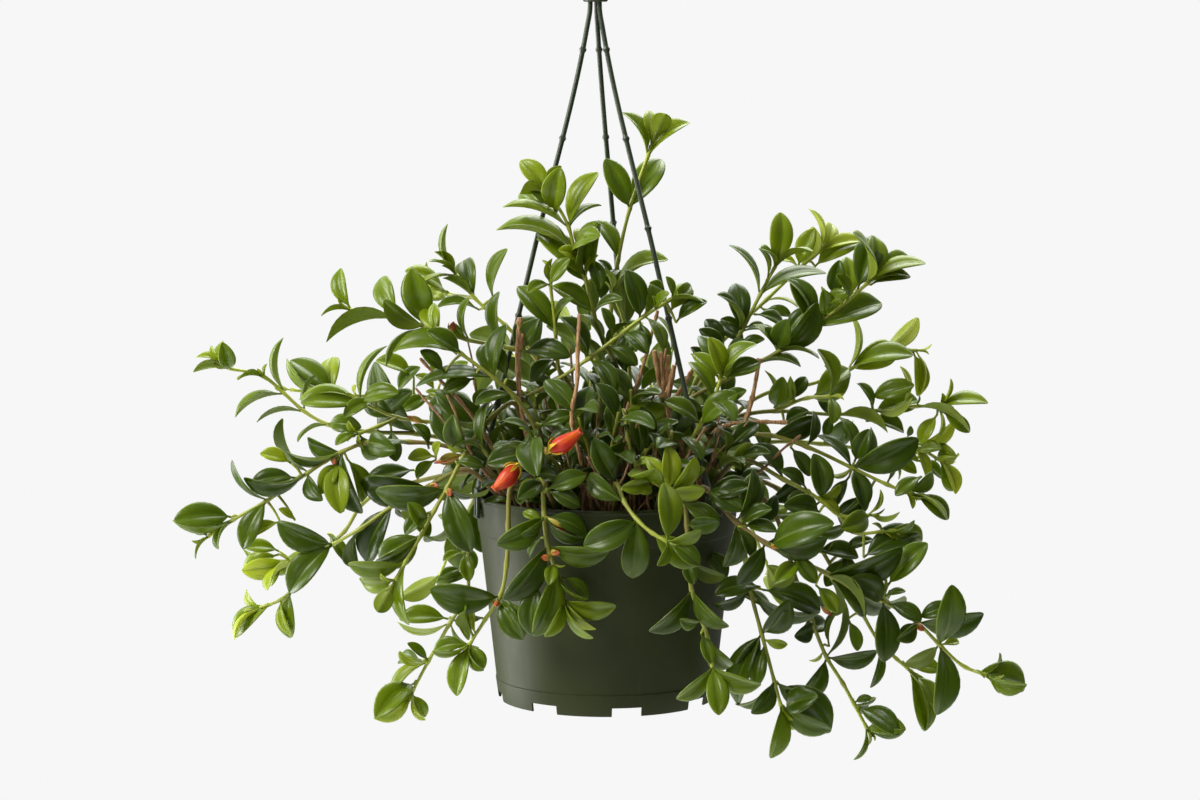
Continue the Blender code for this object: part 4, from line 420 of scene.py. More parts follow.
# More leaves that the photo shows: where each grows (across, up), where its tip shows (across,
# up), how young it is from 0 to 1 and how much of its upper side faces the viewer
MORE_LEAVES = [
    (-80, 70, -99, 62, 0.3, 0.9), (-107, 60, -125, 50, 0.35, 0.9), (-140, 56, -160, 46, 0.4, 0.8),
    (-108, -12, -123, -26, 0.35, 0.8), (-84, -52, -104, -56, 0.4, 0.9), (95, 112, 112, 108, 0.35, 0.8),
    (138, 48, 133, 34, 0.3, 0.7), (112, 28, 124, 10, 0.3, 0.9), (115, -38, 128, -56, 0.35, 0.9),
    (146, -40, 134, -58, 0.3, 0.9), (95, -96, 92, -120, 0.35, 0.8), (160, 58, 187, 66, 0.45, 0.9),
    (192, 10, 176, -2, 0.35, 0.8), (-118, -118, -142, -140, 0.6, 0.8), (-10, 144, -4, 124, 0.3, 0.7),
    (80, 86, 96, 94, 0.35, 0.8), (-170, -25, -160, -42, 0.4, 0.8), (-228, 75, -233, 92, 0.5, 0.95),
    (-166, 60, -192, 81, 0.4, 0.8), (-192, 18, -211, 24, 0.8, 0.9), (-189, 9, -217, 5, 0.2, 0.9),
    (-165, 19, -162, -13, 0.72, 0.9), (-158, 21, -149, -6, 0.6, 0.8), (-229, -15, -264, -17, 0.35, 0.95),
    (-190, -17, -200, -10, 0.8, 0.9), (-199, -18, -216, -27, 0.7, 0.8), (-200, -36, -221, -34, 0.6, 0.8),
    (-200, -38, -222, -47, 0.65, 0.8), (-198, -43, -206, -58, 0.7, 0.7),
    (-196, -40, -180, -42, 0.65, 0.6), (-193, -61, -194, -90, 0.6, 0.9),
    (-205, -69, -228, -89, 0.65, 0.8), (-131, 39, -128, 19, 0.15, 0.9), (-121, -8, -108, -27, 0.45, 0.8),
    (-98, 123, -122, 135, 0.7, 0.8), (-110, 106, -118, 137, 0.5, 0.8), (-91, 85, -109, 100, 0.5, 0.95),
    (-117, 71, -140, 81, 0.65, 0.8), (-127, 60, -113, 77, 0.3, 0.8), (-104, 62, -116, 72, 0.7, 0.8),
    (-100, 70, -103, 86, 0.5, 0.8), (-98, 66, -84, 80, 0.45, 0.8), (-112, 56, -128, 58, 0.6, 0.7),
    (-97, 57, -110, 62, 0.6, 0.6), (-69, 118, -60, 149, 0.45, 0.6), (-62, 91, -65, 123, 0.3, 0.7),
    (-60, 70, -70, 90, 0.3, 0.9), (-92, 33, -86, 55, 0.3, 0.8), (-30, 171, -48, 189, 0.45, 0.9),
    (-31, 171, -28, 198, 0.62, 0.95), (-36, 173, -52, 183, 0.6, 0.9), (-21, 148, -42, 158, 0.4, 0.9),
    (-18, 149, -16, 161, 0.95, 0.9), (-14, 148, -5, 165, 0.5, 0.8), (-8, 130, -4, 164, 0.4, 0.8),
    (-17, 143, -29, 148, 0.8, 0.8), (-14, 136, -12, 153, 0.6, 0.9), (-12, 128, -25, 141, 0.5, 0.9),
    (-32, 128, -22, 143, 0.55, 0.9), (-3, 116, -6, 137, 0.15, 0.9), (3, 128, -5, 142, 0.3, 0.7),
    (4, 122, 8, 136, 0.4, 0.8), (19, 104, 12, 136, 0.2, 0.9), (22, 107, 31, 121, 0.75, 0.8),
    (30, 114, 38, 122, 0.5, 0.8), (38, 110, 50, 126, 0.7, 0.7), (40, 119, 36, 132, 0.45, 0.8),
    (34, 122, 26, 128, 0.5, 0.8), (42, 104, 61, 117, 0.3, 0.8), (98, 131, 92, 149, 0.35, 0.5),
    (116, 138, 126, 161, 0.7, 0.9), (126, 138, 152, 152, 0.72, 0.8), (152, 124, 161, 156, 0.25, 0.9),
    (156, 128, 170, 145, 0.75, 0.85), (160, 127, 184, 132, 0.4, 0.7), (164, 134, 186, 140, 0.5, 0.6),
    (132, 108, 131, 124, 0.45, 0.9), (133, 112, 146, 122, 0.45, 0.8), (125, 103, 112, 131, 0.25, 0.8),
    (108, 95, 123, 113, 0.2, 0.9), (104, 89, 96, 101, 0.3, 0.9), (104, 88, 110, 106, 0.35, 0.8),
    (90, 109, 108, 101, 0.3, 0.7), (84, 100, 69, 106, 0.2, 0.8), (72, 88, 60, 106, 0.15, 0.95),
    (84, 101, 97, 101, 0.3, 0.7), (68, 76, 60, 96, 0.35, 0.9), (73, 70, 93, 80, 0.3, 0.8),
    (66, 72, 56, 84, 0.5, 0.8), (68, 51, 85, 63, 0.3, 0.8), (102, 52, 107, 71, 0.45, 0.95),
    (112, 56, 121, 71, 0.2, 0.9), (123, 58, 147, 76, 0.55, 0.95), (136, 47, 128, 60, 0.15, 0.9),
    (108, 43, 123, 50, 0.15, 0.9), (163, 50, 153, 67, 0.4, 0.7), (163, 51, 189, 57, 0.6, 0.9),
    (152, 78, 186, 84, 0.6, 0.6), (186, 86, 189, 59, 0.75, 0.7), (158, 44, 181, 37, 0.35, 0.7),
    (183, 34, 185, 41, 0.3, 0.8), (151, 19, 160, 39, 0.15, 0.9), (140, 30, 147, 45, 0.25, 0.9),
    (204, 50, 221, 37, 0.5, 0.9), (201, 48, 191, 30, 0.75, 0.5), (188, 24, 204, 27, 0.65, 0.8),
    (200, 31, 209, 22, 0.6, 0.8), (200, 20, 213, 22, 0.7, 0.8), (203, 20, 212, 1, 0.6, 0.95),
    (189, 20, 204, 9, 0.55, 0.8), (170, 20, 189, 12, 0.6, 0.8), (172, 24, 190, 19, 0.6, 0.7),
    (174, 22, 178, 8, 0.6, 0.6), (188, -1, 209, -16, 0.35, 0.9), (63, -4, 88, 4, 0.1, 0.8),
    (84, -17, 90, 12, 0.25, 0.6), (82, -18, 101, -10, 0.2, 0.8), (84, -20, 104, -24, 0.15, 0.8),
    (80, -21, 89, -40, 0.15, 0.6), (101, -31, 139, -19, 0.25, 0.9), (127, -38, 116, -14, 0.35, 0.7),
    (130, -12, 108, -8, 0.2, 0.95), (122, 2, 106, 14, 0.15, 0.8), (125, -2, 110, -4, 0.15, 0.8),
    (148, 10, 138, -10, 0.1, 0.8), (160, -1, 143, -20, 0.1, 0.95), (144, -37, 163, -29, 0.15, 0.8),
    (157, -40, 190, -24, 0.2, 0.9), (172, -57, 196, -31, 0.35, 0.9), (117, -42, 103, -56, 0.55, 0.9),
    (128, -57, 141, -74, 0.6, 0.9), (138, -54, 158, -76, 0.3, 0.8), (96, -60, 131, -73, 0.15, 0.9),
    (117, -88, 135, -80, 0.25, 0.9), (94, -58, 66, -63, 0.2, 0.8), (80, -63, 101, -71, 0.3, 0.7),
    (170, -64, 183, -61, 0.4, 0.8), (172, -68, 193, -79, 0.3, 0.9), (190, -80, 180, -91, 0.2, 0.8),
    (205, -94, 216, -92, 0.85, 0.9), (183, -106, 205, -110, 0.6, 0.9), (189, -113, 203, -134, 0.55, 0.8),
    (187, -113, 196, -148, 0.5, 0.8), (224, -111, 257, -119, 0.5, 0.9), (96, -89, 80, -131, 0.2, 0.8),
    (106, -119, 138, -148, 0.3, 0.9), (110, -134, 130, -126, 0.2, 0.95), (136, -95, 143, -72, 0.35, 0.5),
    (148, -78, 154, -98, 0.45, 0.7), (152, -130, 163, -127, 0.3, 0.9), (155, -134, 180, -150, 0.25, 0.9),
    (160, -146, 184, -147, 0.5, 0.9), (-80, -3, -76, -37, 0.25, 0.9), (-88, -37, -100, -42, 0.55, 0.7),
    (-87, -37, -84, -55, 0.5, 0.9), (-91, -32, -80, -47, 0.35, 0.5), (-88, -47, -102, -52, 0.35, 0.7),
    (-60, -66, -51, -90, 0.4, 0.95), (-42, -55, -46, -88, 0.2, 0.8), (-82, -88, -86, -72, 0.4, 0.7),
    (-97, -78, -127, -78, 0.55, 0.9), (-95, -79, -84, -91, 0.6, 0.8), (-82, -93, -106, -98, 0.45, 0.9),
    (-84, -95, -75, -109, 0.55, 0.9), (-111, -104, -122, -93, 0.4, 0.8),
    (-113, -104, -127, -104, 0.4, 0.8), (-120, -124, -111, -139, 0.7, 0.9),
    (-104, 22, -121, 21, 0.8, 0.9), (-104, 23, -101, 31, 0.85, 0.8), (-92, 19, -75, 16, 0.3, 0.8),
    (-49, 30, -66, 43, 0.3, 0.8), (-51, 33, -60, 52, 0.2, 0.8), (-40, 41, -20, 48, 0.15, 0.9),
    (-23, 46, -12, 35, 0.1, 0.8), (-19, 27, 2, 34, 0.1, 0.9), (-41, 9, -53, 0, 0.6, 0.9),
    (-41, 10, -29, 15, 0.6, 0.9), (-36, 2, -12, 11, 0.3, 0.95), (-36, 1, -16, -9, 0.1, 0.9),
    (-39, -16, -51, -12, 0.55, 0.9), (-37, -15, -12, -27, 0.3, 0.8), (-40, -28, -47, -40, 0.25, 0.8),
    (20, 105, 24, 87, 0.3, 0.9), (11, 72, 14, 98, 0.15, 0.9), (-6, 80, 5, 60, 0.2, 0.9),
    (-8, 48, -6, 76, 0.05, 0.9), (11, 62, 37, 52, 0.15, 0.9), (37, 55, 58, 50, 0.25, 0.7),
    (21, 22, 20, 52, 0.25, 0.95), (28, 46, 46, 42, 0.15, 0.9), (12, 12, 28, 6, 0.3, 0.9),
    (11, 3, 28, 1, 0.8, 0.8), (17, 16, 27, 21, 0.6, 0.8), (33, 18, 57, 26, 0.35, 0.8),
    (46, 5, 60, 15, 0.5, 0.8), (71, 18, 65, 27, 0.6, 0.8), (74, 18, 93, 27, 0.6, 0.9),
    (73, 18, 82, 14, 0.5, 0.6), (46, -6, 69, -20, 0.35, 0.95), (43, -4, 60, 2, 0.6, 0.9),
    (25, -16, 33, 2, 0.6, 0.9), (36, -17, 36, 2, 0.3, 0.9), (-8, -33, 3, -40, 0.25, 0.8),
    (36, -28, 57, -45, 0.35, 0.95), (46, -38, 32, -45, 0.35, 0.8), (57, -36, 74, -52, 0.2, 0.9),
    (48, -40, 53, -57, 0.3, 0.8), (58, -87, 64, -106, 0.45, 0.9), (-28, -52, -11, -66, 0.4, 0.8),
    (-33, -43, -35, -57, 0.5, 0.9), (-150, 53, -186, 55, 0.5, 0.8), (-98, 74, -113, 87, 0.25, 0.9),
    (-108, 27, -118, 42, 0.3, 0.8), (-104, 20, -116, 9, 0.5, 0.9), (-117, 14, -147, 6, 0.1, 0.8),
    (-163, 19, -174, -1, 0.65, 0.9), (-113, -24, -139, -41, 0.4, 0.95), (-110, -21, -121, -6, 0.45, 0.9),
    (133, 78, 138, 55, 0.5, 0.4), (128, -36, 154, -40, 0.15, 0.8), (146, -36, 150, -57, 0.15, 0.9),
    (153, -60, 173, -70, 0.8, 0.5), (170, -60, 168, -49, 0.6, 0.5), (190, -78, 212, -70, 0.25, 0.95),
    (-50, 88, -41, 106, 0.15, 0.9), (-50, 86, -22, 83, 0.15, 0.8), (-16, 94, -28, 107, 0.15, 0.8),
    (-12, 82, -19, 99, 0.45, 0.7), (-30, 62, -44, 71, 0.1, 0.95), (-51, 62, -65, 68, 0.35, 0.9),
    (4, 96, -3, 113, 0.3, 0.85), (27, 66, 20, 78, 0.1, 0.9), (40, 88, 30, 108, 0.35, 0.6),
    (85, 90, 67, 104, 0.15, 0.9), (62, 64, 51, 85, 0.05, 0.4), (61, 76, 51, 89, 0.1, 0.8),
    (138, 120, 141, 142, 0.3, 0.95), (-77, 112, -103, 113, 0.4, 0.5),
]
MORE_LEANS = (4.0, 9.0, -5.0, 14.0, -11.0, 19.0, -17.0, 25.0)
NEAR_A_STEM = 5.0
LEAF_SPARE = 3.5

# Buds: where the tip of each shows, and for the long ones where its root shows
BUDS = [(-93, 103), (-110, 100), (-127, 107), (-166, 19), (-105, 18, -86, 24), (-106, 4), (-99, 2),
        (-25, -24, -38, -14), (-38, -40), (-32, -37), (102, -33), (191, -79), (138, -76, 130, -68),
        (17, 18), (-67, -68), (-121, 47, -109, 42)]
BUD_LENGTH = 8.5
BUD_RADIUS = 2.0
BUD_SIDES = 12
BUD_RINGS = 12

# Growth inside the crown that the photo shows only as depth
GOLDEN_TURN = 137.5
INNER_SHOOTS = 34
INNER_SPREAD = 60.0
INNER_LEAF = 30.0
INNER_SPARE = 3.2
INNER_TRIES = 5
DEAD_TWIGS = 70
DEAD_TWIG_REACH = 68.0

# Dead twigs that show in the photo: where one shows low down and at its tip (across, up), how
# far forward it stands and its radius
SEEN_TWIGS = [
    (10, 42, 31, 111, 40, 1.35), (-79, 60, -84, 92, 20, 0.8), (-90, 57, -113, 82, 45, 1.2),
    (-104, 50, -116, 64, 50, 0.9), (99, 18, 118, 35, 40, 1.0), (-38, 60, -42, 84, 12, 1.1),
    (-20, 60, -22, 88, 8, 1.0), (30, 50, 36, 88, 22, 0.9), (37, 52, 43, 84, 26, 0.8),
    (18, 40, 30, 62, 50, 0.9), (40, 30, 36, 62, 55, 1.1), (-3, 4, -12, 22, 72, 0.9),
    (5, 0, 14, 20, 70, 0.8), (48, 20, 60, 40, 62, 0.9), (-88, 36, -97, 60, 50, 1.0),
]

# The stage
FLOOR_BELOW_SEAT = 0.95
FLOOR_RADIUS = 14.0
PALE = (0.93, 0.93, 0.93, 1.0)
PHOTO_WIDTH = 1200
FOCAL_PIXELS = 3311.0
CAMERA_PITCH = 6.2
SENSOR_WIDTH = 36.0

# The lights: where each stands and what it faces (metres), its size, its power and its colour
LIGHTS = {
    "key_left": ((-1.8, -1.1, 1.1), (0.0, 0.0, -0.3), 1.1, 84.0, (1.0, 0.98, 0.93)),
    "side_left": ((-2.1, 0.5, -0.1), (0.0, 0.0, -0.3), 1.3, 40.0, (1.0, 1.0, 0.98)),
    "top_behind": ((0.3, 1.0, 1.4), (0.0, 0.0, -0.3), 1.6, 66.0, (0.98, 1.0, 0.99)),
    "low_left": ((-1.3, 0.3, -0.7), (0.0, 0.0, -0.42), 0.6, 14.0, (1.0, 1.0, 0.96)),
    "front_low": ((-0.7, -2.4, -0.7), (0.0, 0.0, -0.3), 0.8, 10.0, (1.0, 0.94, 0.84)),
}


# Places in the layout


def sight(across, up, forward):
    """The point that shows at (across, up) on the pot's middle plane, forward of that plane."""
    nearer = (EYE_AWAY - forward) / EYE_AWAY
    return Vector((EYE_ACROSS + (across - EYE_ACROSS) * nearer, -forward,
                   EYE_UP + (up - EYE_UP) * nearer))


def shown(point):
    """Where a layout point shows on the pot's middle plane."""
    nearer = (EYE_AWAY + point[1]) / EYE_AWAY
    return np.array([EYE_ACROSS + (point[0] - EYE_ACROSS) / nearer,
                     EYE_UP + (point[2] - EYE_UP) / nearer])


def world(point):
    """A layout point in the object's own frame, in metres."""
    return Vector((point[0] + RIM_RIGHT_OF_SEAT, point[1], point[2] - RIM_BELOW_SEAT)) * MM


def turned(turn, radius, height):
    """The layout point at a turn about the pot, a radius from its axis and a height."""
    angle = math.radians(turn)
    return Vector((radius * math.sin(angle), -radius * math.cos(angle), height))


def outer_radius(height):
    """The pot's outer radius below the band, at a height (zero at the rim, falling)."""
    taper = (RIM_RADIUS - BAND_STEP - BASE_RADIUS) / POT_HEIGHT
    return RIM_RADIUS - BAND_STEP + taper * height


def inner_radius(height):
    """The pot's inner radius at a height."""
    return outer_radius(height) - WALL


def square(way, along):
    """The part of a way that is square to another."""
    return way - along * way.dot(along)


def beside(ahead, angle):
    """A direction square to ahead, turned about it by an angle."""
    aside = ahead.orthogonal().normalized()
    aside.rotate(Matrix.Rotation(angle, 3, ahead))
    return aside


def unit(vectors):
    """Vectors made one long."""
    return vectors / np.maximum(np.linalg.norm(vectors, axis=-1, keepdims=True), 1e-9)


def search_tree(points):
    """A tree that finds the nearest of some points."""
    tree = KDTree(len(points))
    for number, point in enumerate(points):
        tree.insert(point, number)
    tree.balance()
    return tree


# The plant's plan, drawn or by rule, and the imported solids' own pose of it


def smooth(points):
    """Points with a Catmull-Rom point added wherever two lie far apart."""
    result = points[:1]
    for number in range(1, len(points)):
        start, end = points[number - 1:number + 1]
        if (end - start).length > LONGEST_STEM_STEP:
            beyond = points[max(number - 2, 0)] + points[min(number + 1, len(points) - 1)]
            result.append((start + end) * NEAR_WEIGHT - beyond * FAR_WEIGHT)
        result.append(end)
    return result


def root_points(root):
    """Where a stem stands in its hole and where it leaves the soil."""
    right, forward = root
    return [Vector((right, -forward, height - SOIL_DEPTH_BELOW_RIM))
            for height in (SEAT_GAP - HOLE_DEPTH, 4.0)]


def over_rim(points):
    """Points with one added inside the rim where a stem would leave the pot through its wall."""
    result = points[:1]
    for start, end in zip(points, points[1:]):
        start_reach = math.hypot(start.x, start.y)
        end_reach = math.hypot(end.x, end.y)
        if start_reach < RIM_PASS_RADIUS < end_reach:
            share = (RIM_PASS_RADIUS - start_reach) / (end_reach - start_reach)
            crossing = start.lerp(end, share)
            if crossing.z < RIM_PASS_HEIGHT:
                crossing.z = RIM_PASS_HEIGHT
                result.append(crossing)
        result.append(end)
    return result


def drawn_shoots(root, trunk, sides, shift):
    """A drawn stem's shoots: the points each passes, and each joint with its leaves."""
    shoots = []
    for parent, joints in [(None, trunk), *sides]:
        places = []
        for number, (across, up, forward, *leaves) in enumerate(joints):
            depth = forward + shift * (min(1.0, (number + 1) / 3) if parent is None else 1.0)
            tips = [(sight(tip_across, tip_up, depth + lean), face)
                    for tip_across, tip_up, lean, face in leaves]
            places.append((sight(across, up, depth), tips))
        points = root_points(root) if parent is None else [shoots[0][1][parent][0]]
        points += [place for place, tips in places]
        shoots.append((smooth(over_rim(points)), places))
    return shoots


def far_shoots(root, turn, reach, tip_height, draw):
    """A stem of the far side: it arches over the rim, with crossed pairs of leaves."""
    start = root_points(root)[1]
    crest = turned(turn, RIM_RADIUS + 14.0, 62.0 + max(tip_height, 0.0) * 0.4)
    end = turned(turn + draw.uniform(-8.0, 8.0), reach, tip_height)
    count = max(4, round(((crest - start).length + (end - crest).length) / FAR_JOINT_STEP))

    def arch(share):
        return start * (1 - share) ** 2 + crest * (2 * share * (1 - share)) + end * share ** 2

    places = []
    for number in range(1, count + 1):
        share = number / count
        place = arch(share)
        ahead = (arch(share) - arch(share - 0.05)).normalized()
        aside = ahead.cross(UP).normalized()
        aside.rotate(Matrix.Rotation(math.radians(90.0 * number + draw.uniform(-15, 15) + 20.0),
                                     3, ahead))
        leaves = []
        if math.hypot(place.x, place.y) > RIM_RADIUS - 12.0:
            spread = math.radians(FAR_LEAF_SPREAD * (0.72 if number == count else 1.0))
            size = FAR_LEAF_LENGTH * (1.06 - 0.22 * share) * draw.uniform(0.9, 1.1)
            leaves = [(place + (ahead * math.cos(spread) + aside * (side * math.sin(spread))) * size,
                       None) for side in (-1.0, 1.0)]
        places.append((place, leaves))
    return [(root_points(root) + [place for place, leaves in places], places)]


def leaf_frame(root, tip, face, ahead):
    """A leaf's length, its own directions along and up, from where it grows and how it faces."""
    along = (tip - root).normalized()
    above = square(ahead, along)
    if above.length < 0.25:
        above = square(UP, along)
    above.normalize()
    if face is None:
        above = above + square(UP, along) * 0.6
    else:
        seen = square(EYE - root, along).normalized()
        above = square(seen * face + above * math.sqrt(1.0 - face * face), along)
    return (tip - root).length, along, above.normalized()


def leaf_choices(root, tip):
    """Tips to try for a leaf: leaning along the line of sight, swung aside, and shorter."""
    eye = (EYE - root).normalized()
    for size in SIZES:
        for swing in SWINGS:
            way = (tip - root) * size
            way.rotate(Matrix.Rotation(math.radians(swing), 3, eye))
            for lean in LEANS:
                yield root + way + eye * lean


def joint_directions(points, places):
    """Each joint's place, its tips and which way the shoot runs there."""
    joints = [place for place, tips in places]
    for number, (place, tips) in enumerate(places):
        before = joints[number - 1] if number else points[0]
        yield place, tips, (joints[min(number + 1, len(joints) - 1)] - before).normalized()


def packed_leaves(points, places, tree):
    """A shoot's leaves as the solids have them: root, frame and share of the shoot."""
    leaves = []
    for number, (place, tips, ahead) in enumerate(joint_directions(points, places)):
        for tip, face in tips:
            for choice in leaf_choices(place, tip):
                if tree.find(choice)[2] < FOUND_WITHIN:
                    leaves.append((place, leaf_frame(place, choice, face, ahead),
                                   (number + 1) / len(places)))
                    break
    return leaves


def packed_stems():
    """Each stem's shoots and leaves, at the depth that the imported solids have."""
    draw = random.Random(SEED)
    plans = {}
    for name, (root, youth_and_light, trunk, *sides) in STEMS.items():
        plans[name] = [drawn_shoots(root, trunk, sides, shift) for shift in DEPTH_SHIFTS]
    for number, (root, turn, reach, tip_height) in enumerate(FAR_STEMS, 1):
        plans[f"far_{number}"] = [far_shoots(root, turn + draw.uniform(-4, 4), reach, tip_height,
                                             draw) for attempt in range(FAR_TRIES)]
    stems = {}
    for name, choices in plans.items():
        solid = frame["nodes"]["leafy_stem_" + name].data.vertices
        tree = search_tree([vertex.co / MM + Vector((-RIM_RIGHT_OF_SEAT, 0.0, RIM_BELOW_SEAT))
                            for vertex in solid])

        def tips_found(shoots):
            return sum(tree.find(tip)[2] < FOUND_WITHIN for points, places in shoots
                       for place, tips in places for tip, face in tips)

        shoots = max(choices, key=tips_found)
        stems[name] = [(*shoot, packed_leaves(*shoot, tree)) for shoot in shoots]
    return stems


# Meshes: closed bodies of rings, gathered piece by piece


def loft_faces(stations, sides):
    """The quads and end triangles of a closed body of rings with a point at each end."""
    ring = np.arange(sides)
    after = (ring + 1) % sides
    quads = [np.stack([k * sides + ring, k * sides + after, (k + 1) * sides + after,
                       (k + 1) * sides + ring], 1) for k in range(stations - 1)]
    first = np.full(sides, stations * sides)
    last_ring = (stations - 1) * sides
    near_end = np.stack([first, after, ring], 1)
    far_end = np.stack([first + 1, last_ring + ring, last_ring + after], 1)
    return np.concatenate(quads), np.concatenate([near_end, far_end])


def marked(rings, turns=0.0, runs=0.0, tones=0.0, chances=0.0):
    """The four marks of each point of some rings, for its material."""
    marks = np.zeros((*rings.shape[:2], 4))
    for layer, values in enumerate((turns, runs, tones, chances)):
        marks[:, :, layer] = values
    return marks


class Pile:
    """Closed bodies gathered into one mesh, each point with four marks for its material."""

    def __init__(self):
        self.bodies = []
        self.count = 0

    def loft(self, rings, ends, marks, end_marks, kind=0):
        """Add a closed body of rings of layout points, closed by a point at each end."""
        quads, triangles = loft_faces(*rings.shape[:2])
        points = np.concatenate([rings.reshape(-1, 3), np.asarray(ends, float)])
        halves = np.concatenate([triangles, quads[:, [0, 1, 2]], quads[:, [0, 2, 3]]])
        corners = points[halves] - points[0]
        if np.einsum("ij,ij->", corners[:, 0], np.cross(corners[:, 1], corners[:, 2])) < 0.0:
            quads = quads[:, ::-1]
            triangles = triangles[:, ::-1]
        marks = np.concatenate([marks.reshape(-1, 4), np.asarray(end_marks, float)])
        self.bodies.append((points, marks, quads + self.count, triangles + self.count,
                            np.full(len(quads), kind), np.full(len(triangles), kind)))
        self.count += len(points)

    def mesh(self, name):
        """One mesh of all the bodies."""
        points, marks, quads, triangles, quad_kinds, triangle_kinds = (
            np.concatenate(parts) for parts in zip(*self.bodies))
        corners = np.concatenate([quads.ravel(), triangles.ravel()])
        starts = np.concatenate([np.arange(len(quads)) * 4,
                                 quads.size + np.arange(len(triangles)) * 3])
        mesh = bpy.data.meshes.new(name)
        mesh.vertices.add(len(points))
        points = points + (RIM_RIGHT_OF_SEAT, 0.0, -RIM_BELOW_SEAT)
        mesh.vertices.foreach_set("co", (points * MM).ravel())
        mesh.loops.add(len(corners))
        mesh.loops.foreach_set("vertex_index", corners)
        mesh.polygons.add(len(starts))
        mesh.polygons.foreach_set("loop_start", starts)
        mesh.polygons.foreach_set("material_index", np.concatenate([quad_kinds, triangle_kinds]))
        mesh.update(calc_edges=True)
        marks = marks[corners]
        for layer, pair in (("place", marks[:, :2]), ("tone", marks[:, 2:])):
            mesh.uv_layers.new(name=layer).data.foreach_set("uv", pair.ravel())
        return mesh


def dress(name, shape, materials, replaced=(), crease=None):
    """A piece that rides on the root body, with its materials and the nodes it replaces."""
    mesh = shape.mesh(name) if isinstance(shape, Pile) else shape
    piece = bpy.data.objects.new(name, mesh)
    bpy.context.scene.collection.objects.link(piece)
    for material in materials:
        mesh.materials.append(material)
    mesh.shade_smooth()
    if crease is not None:
        mesh.set_sharp_from_angle(angle=math.radians(crease))
    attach(piece, "root")
    if replaced:
        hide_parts(*replaced)


def spaced(points, step):
    """A path at about even steps on a smooth curve through points, and its run to each point."""
    points = [np.array(point, float) for point in points]
    gaps = [max(np.linalg.norm(b - a), 1e-6) for a, b in zip(points, points[1:])]
    chords = [(b - a) / gap for a, b, gap in zip(points, points[1:], gaps)]
    slopes = [(one * after + other * before) / (before + after) for one, other, before, after
              in zip(chords, chords[1:], gaps, gaps[1:])]
    slopes = [chords[0], *slopes, chords[-1]]
    path = [points[0]]
    for number, gap in enumerate(gaps):
        for share in np.linspace(0.0, 1.0, max(1, math.ceil(gap / step)) + 1)[1:]:
            squared, cubed = share ** 2, share ** 3
            path.append(points[number] * (2 * cubed - 3 * squared + 1)
                        + points[number + 1] * (3 * squared - 2 * cubed)
                        + slopes[number] * gap * (cubed - 2 * squared + share)
                        + slopes[number + 1] * gap * (cubed - squared))
    path = np.array(path)
    return path, run_lengths(path)


def run_lengths(path):
    """How far along a path each of its points lies."""
    return np.concatenate([[0.0], np.cumsum(np.linalg.norm(np.diff(path, axis=0), axis=1))])


def around(sides):
    """The angles of a ring's points."""
    return np.arange(sides) * 2 * math.pi / sides


def ring_shares(sides):
    """The share of a turn at which each of a ring's points lies."""
    return np.arange(sides) / sides


def tube_rings(path, radii, sides, flat=None):
    """Rings round a path; flat gives a direction and how thick each ring is that way."""
    tangents = unit(np.gradient(path, axis=0))
    start, thick = flat or ((0.31, 0.52, 0.79), radii)
    normal = unit(np.cross(tangents[0], np.cross(start, tangents[0])))
    turns = around(sides)
    rings = []
    for number, (point, tangent) in enumerate(zip(path, tangents)):
        normal = unit(normal - tangent * normal.dot(tangent))
        across = np.cross(tangent, normal)
        rings.append(point + np.outer(np.cos(turns) * thick[number], normal)
                     + np.outer(np.sin(turns) * radii[number], across))
    return np.array(rings)


def add_tube(pile, path, radii, sides, tones=(0.5, 0.5), kind=0, round_end=0.6, flat=None,
             chance=0.5):
    """Add a tube; its marks are the turn, the run in millimetres / 100, the tone and a chance."""
    rings = tube_rings(path, radii, sides, flat)
    runs = run_lengths(path) / 100.0
    marks = marked(rings, ring_shares(sides), runs[:, None],
                   np.linspace(*tones, len(path))[:, None], chance)
    ends = [path[0] - unit(path[1] - path[0]) * radii[0] * round_end,
            path[-1] + unit(path[-1] - path[-2]) * radii[-1] * round_end]
    pile.loft(rings, ends, marks, [(0.5, 0.0, tones[0], chance), (0.5, runs[-1], tones[1], chance)],
              kind)


def add_turned(pile, profile, sides, middle=(0.0, 0.0)):
    """Add a body turned from radii and heights; its marks are the turn and the share along it."""
    turns = around(sides)
    circle = np.stack([np.sin(turns), -np.cos(turns)], 1)
    rings = np.zeros((len(profile), sides, 3))
    for ring, (radius, height) in zip(rings, profile):
        ring[:, :2] = circle * radius + middle
        ring[:, 2] = height
    marks = marked(rings, ring_shares(sides), np.linspace(0.0, 1.0, len(profile))[:, None])
    ends = [(*middle, profile[0][1]), (*middle, profile[-1][1])]
    pile.loft(rings, ends, marks, [(0.5, 0.0, 0.0, 0.0), (0.5, 1.0, 0.0, 0.0)])


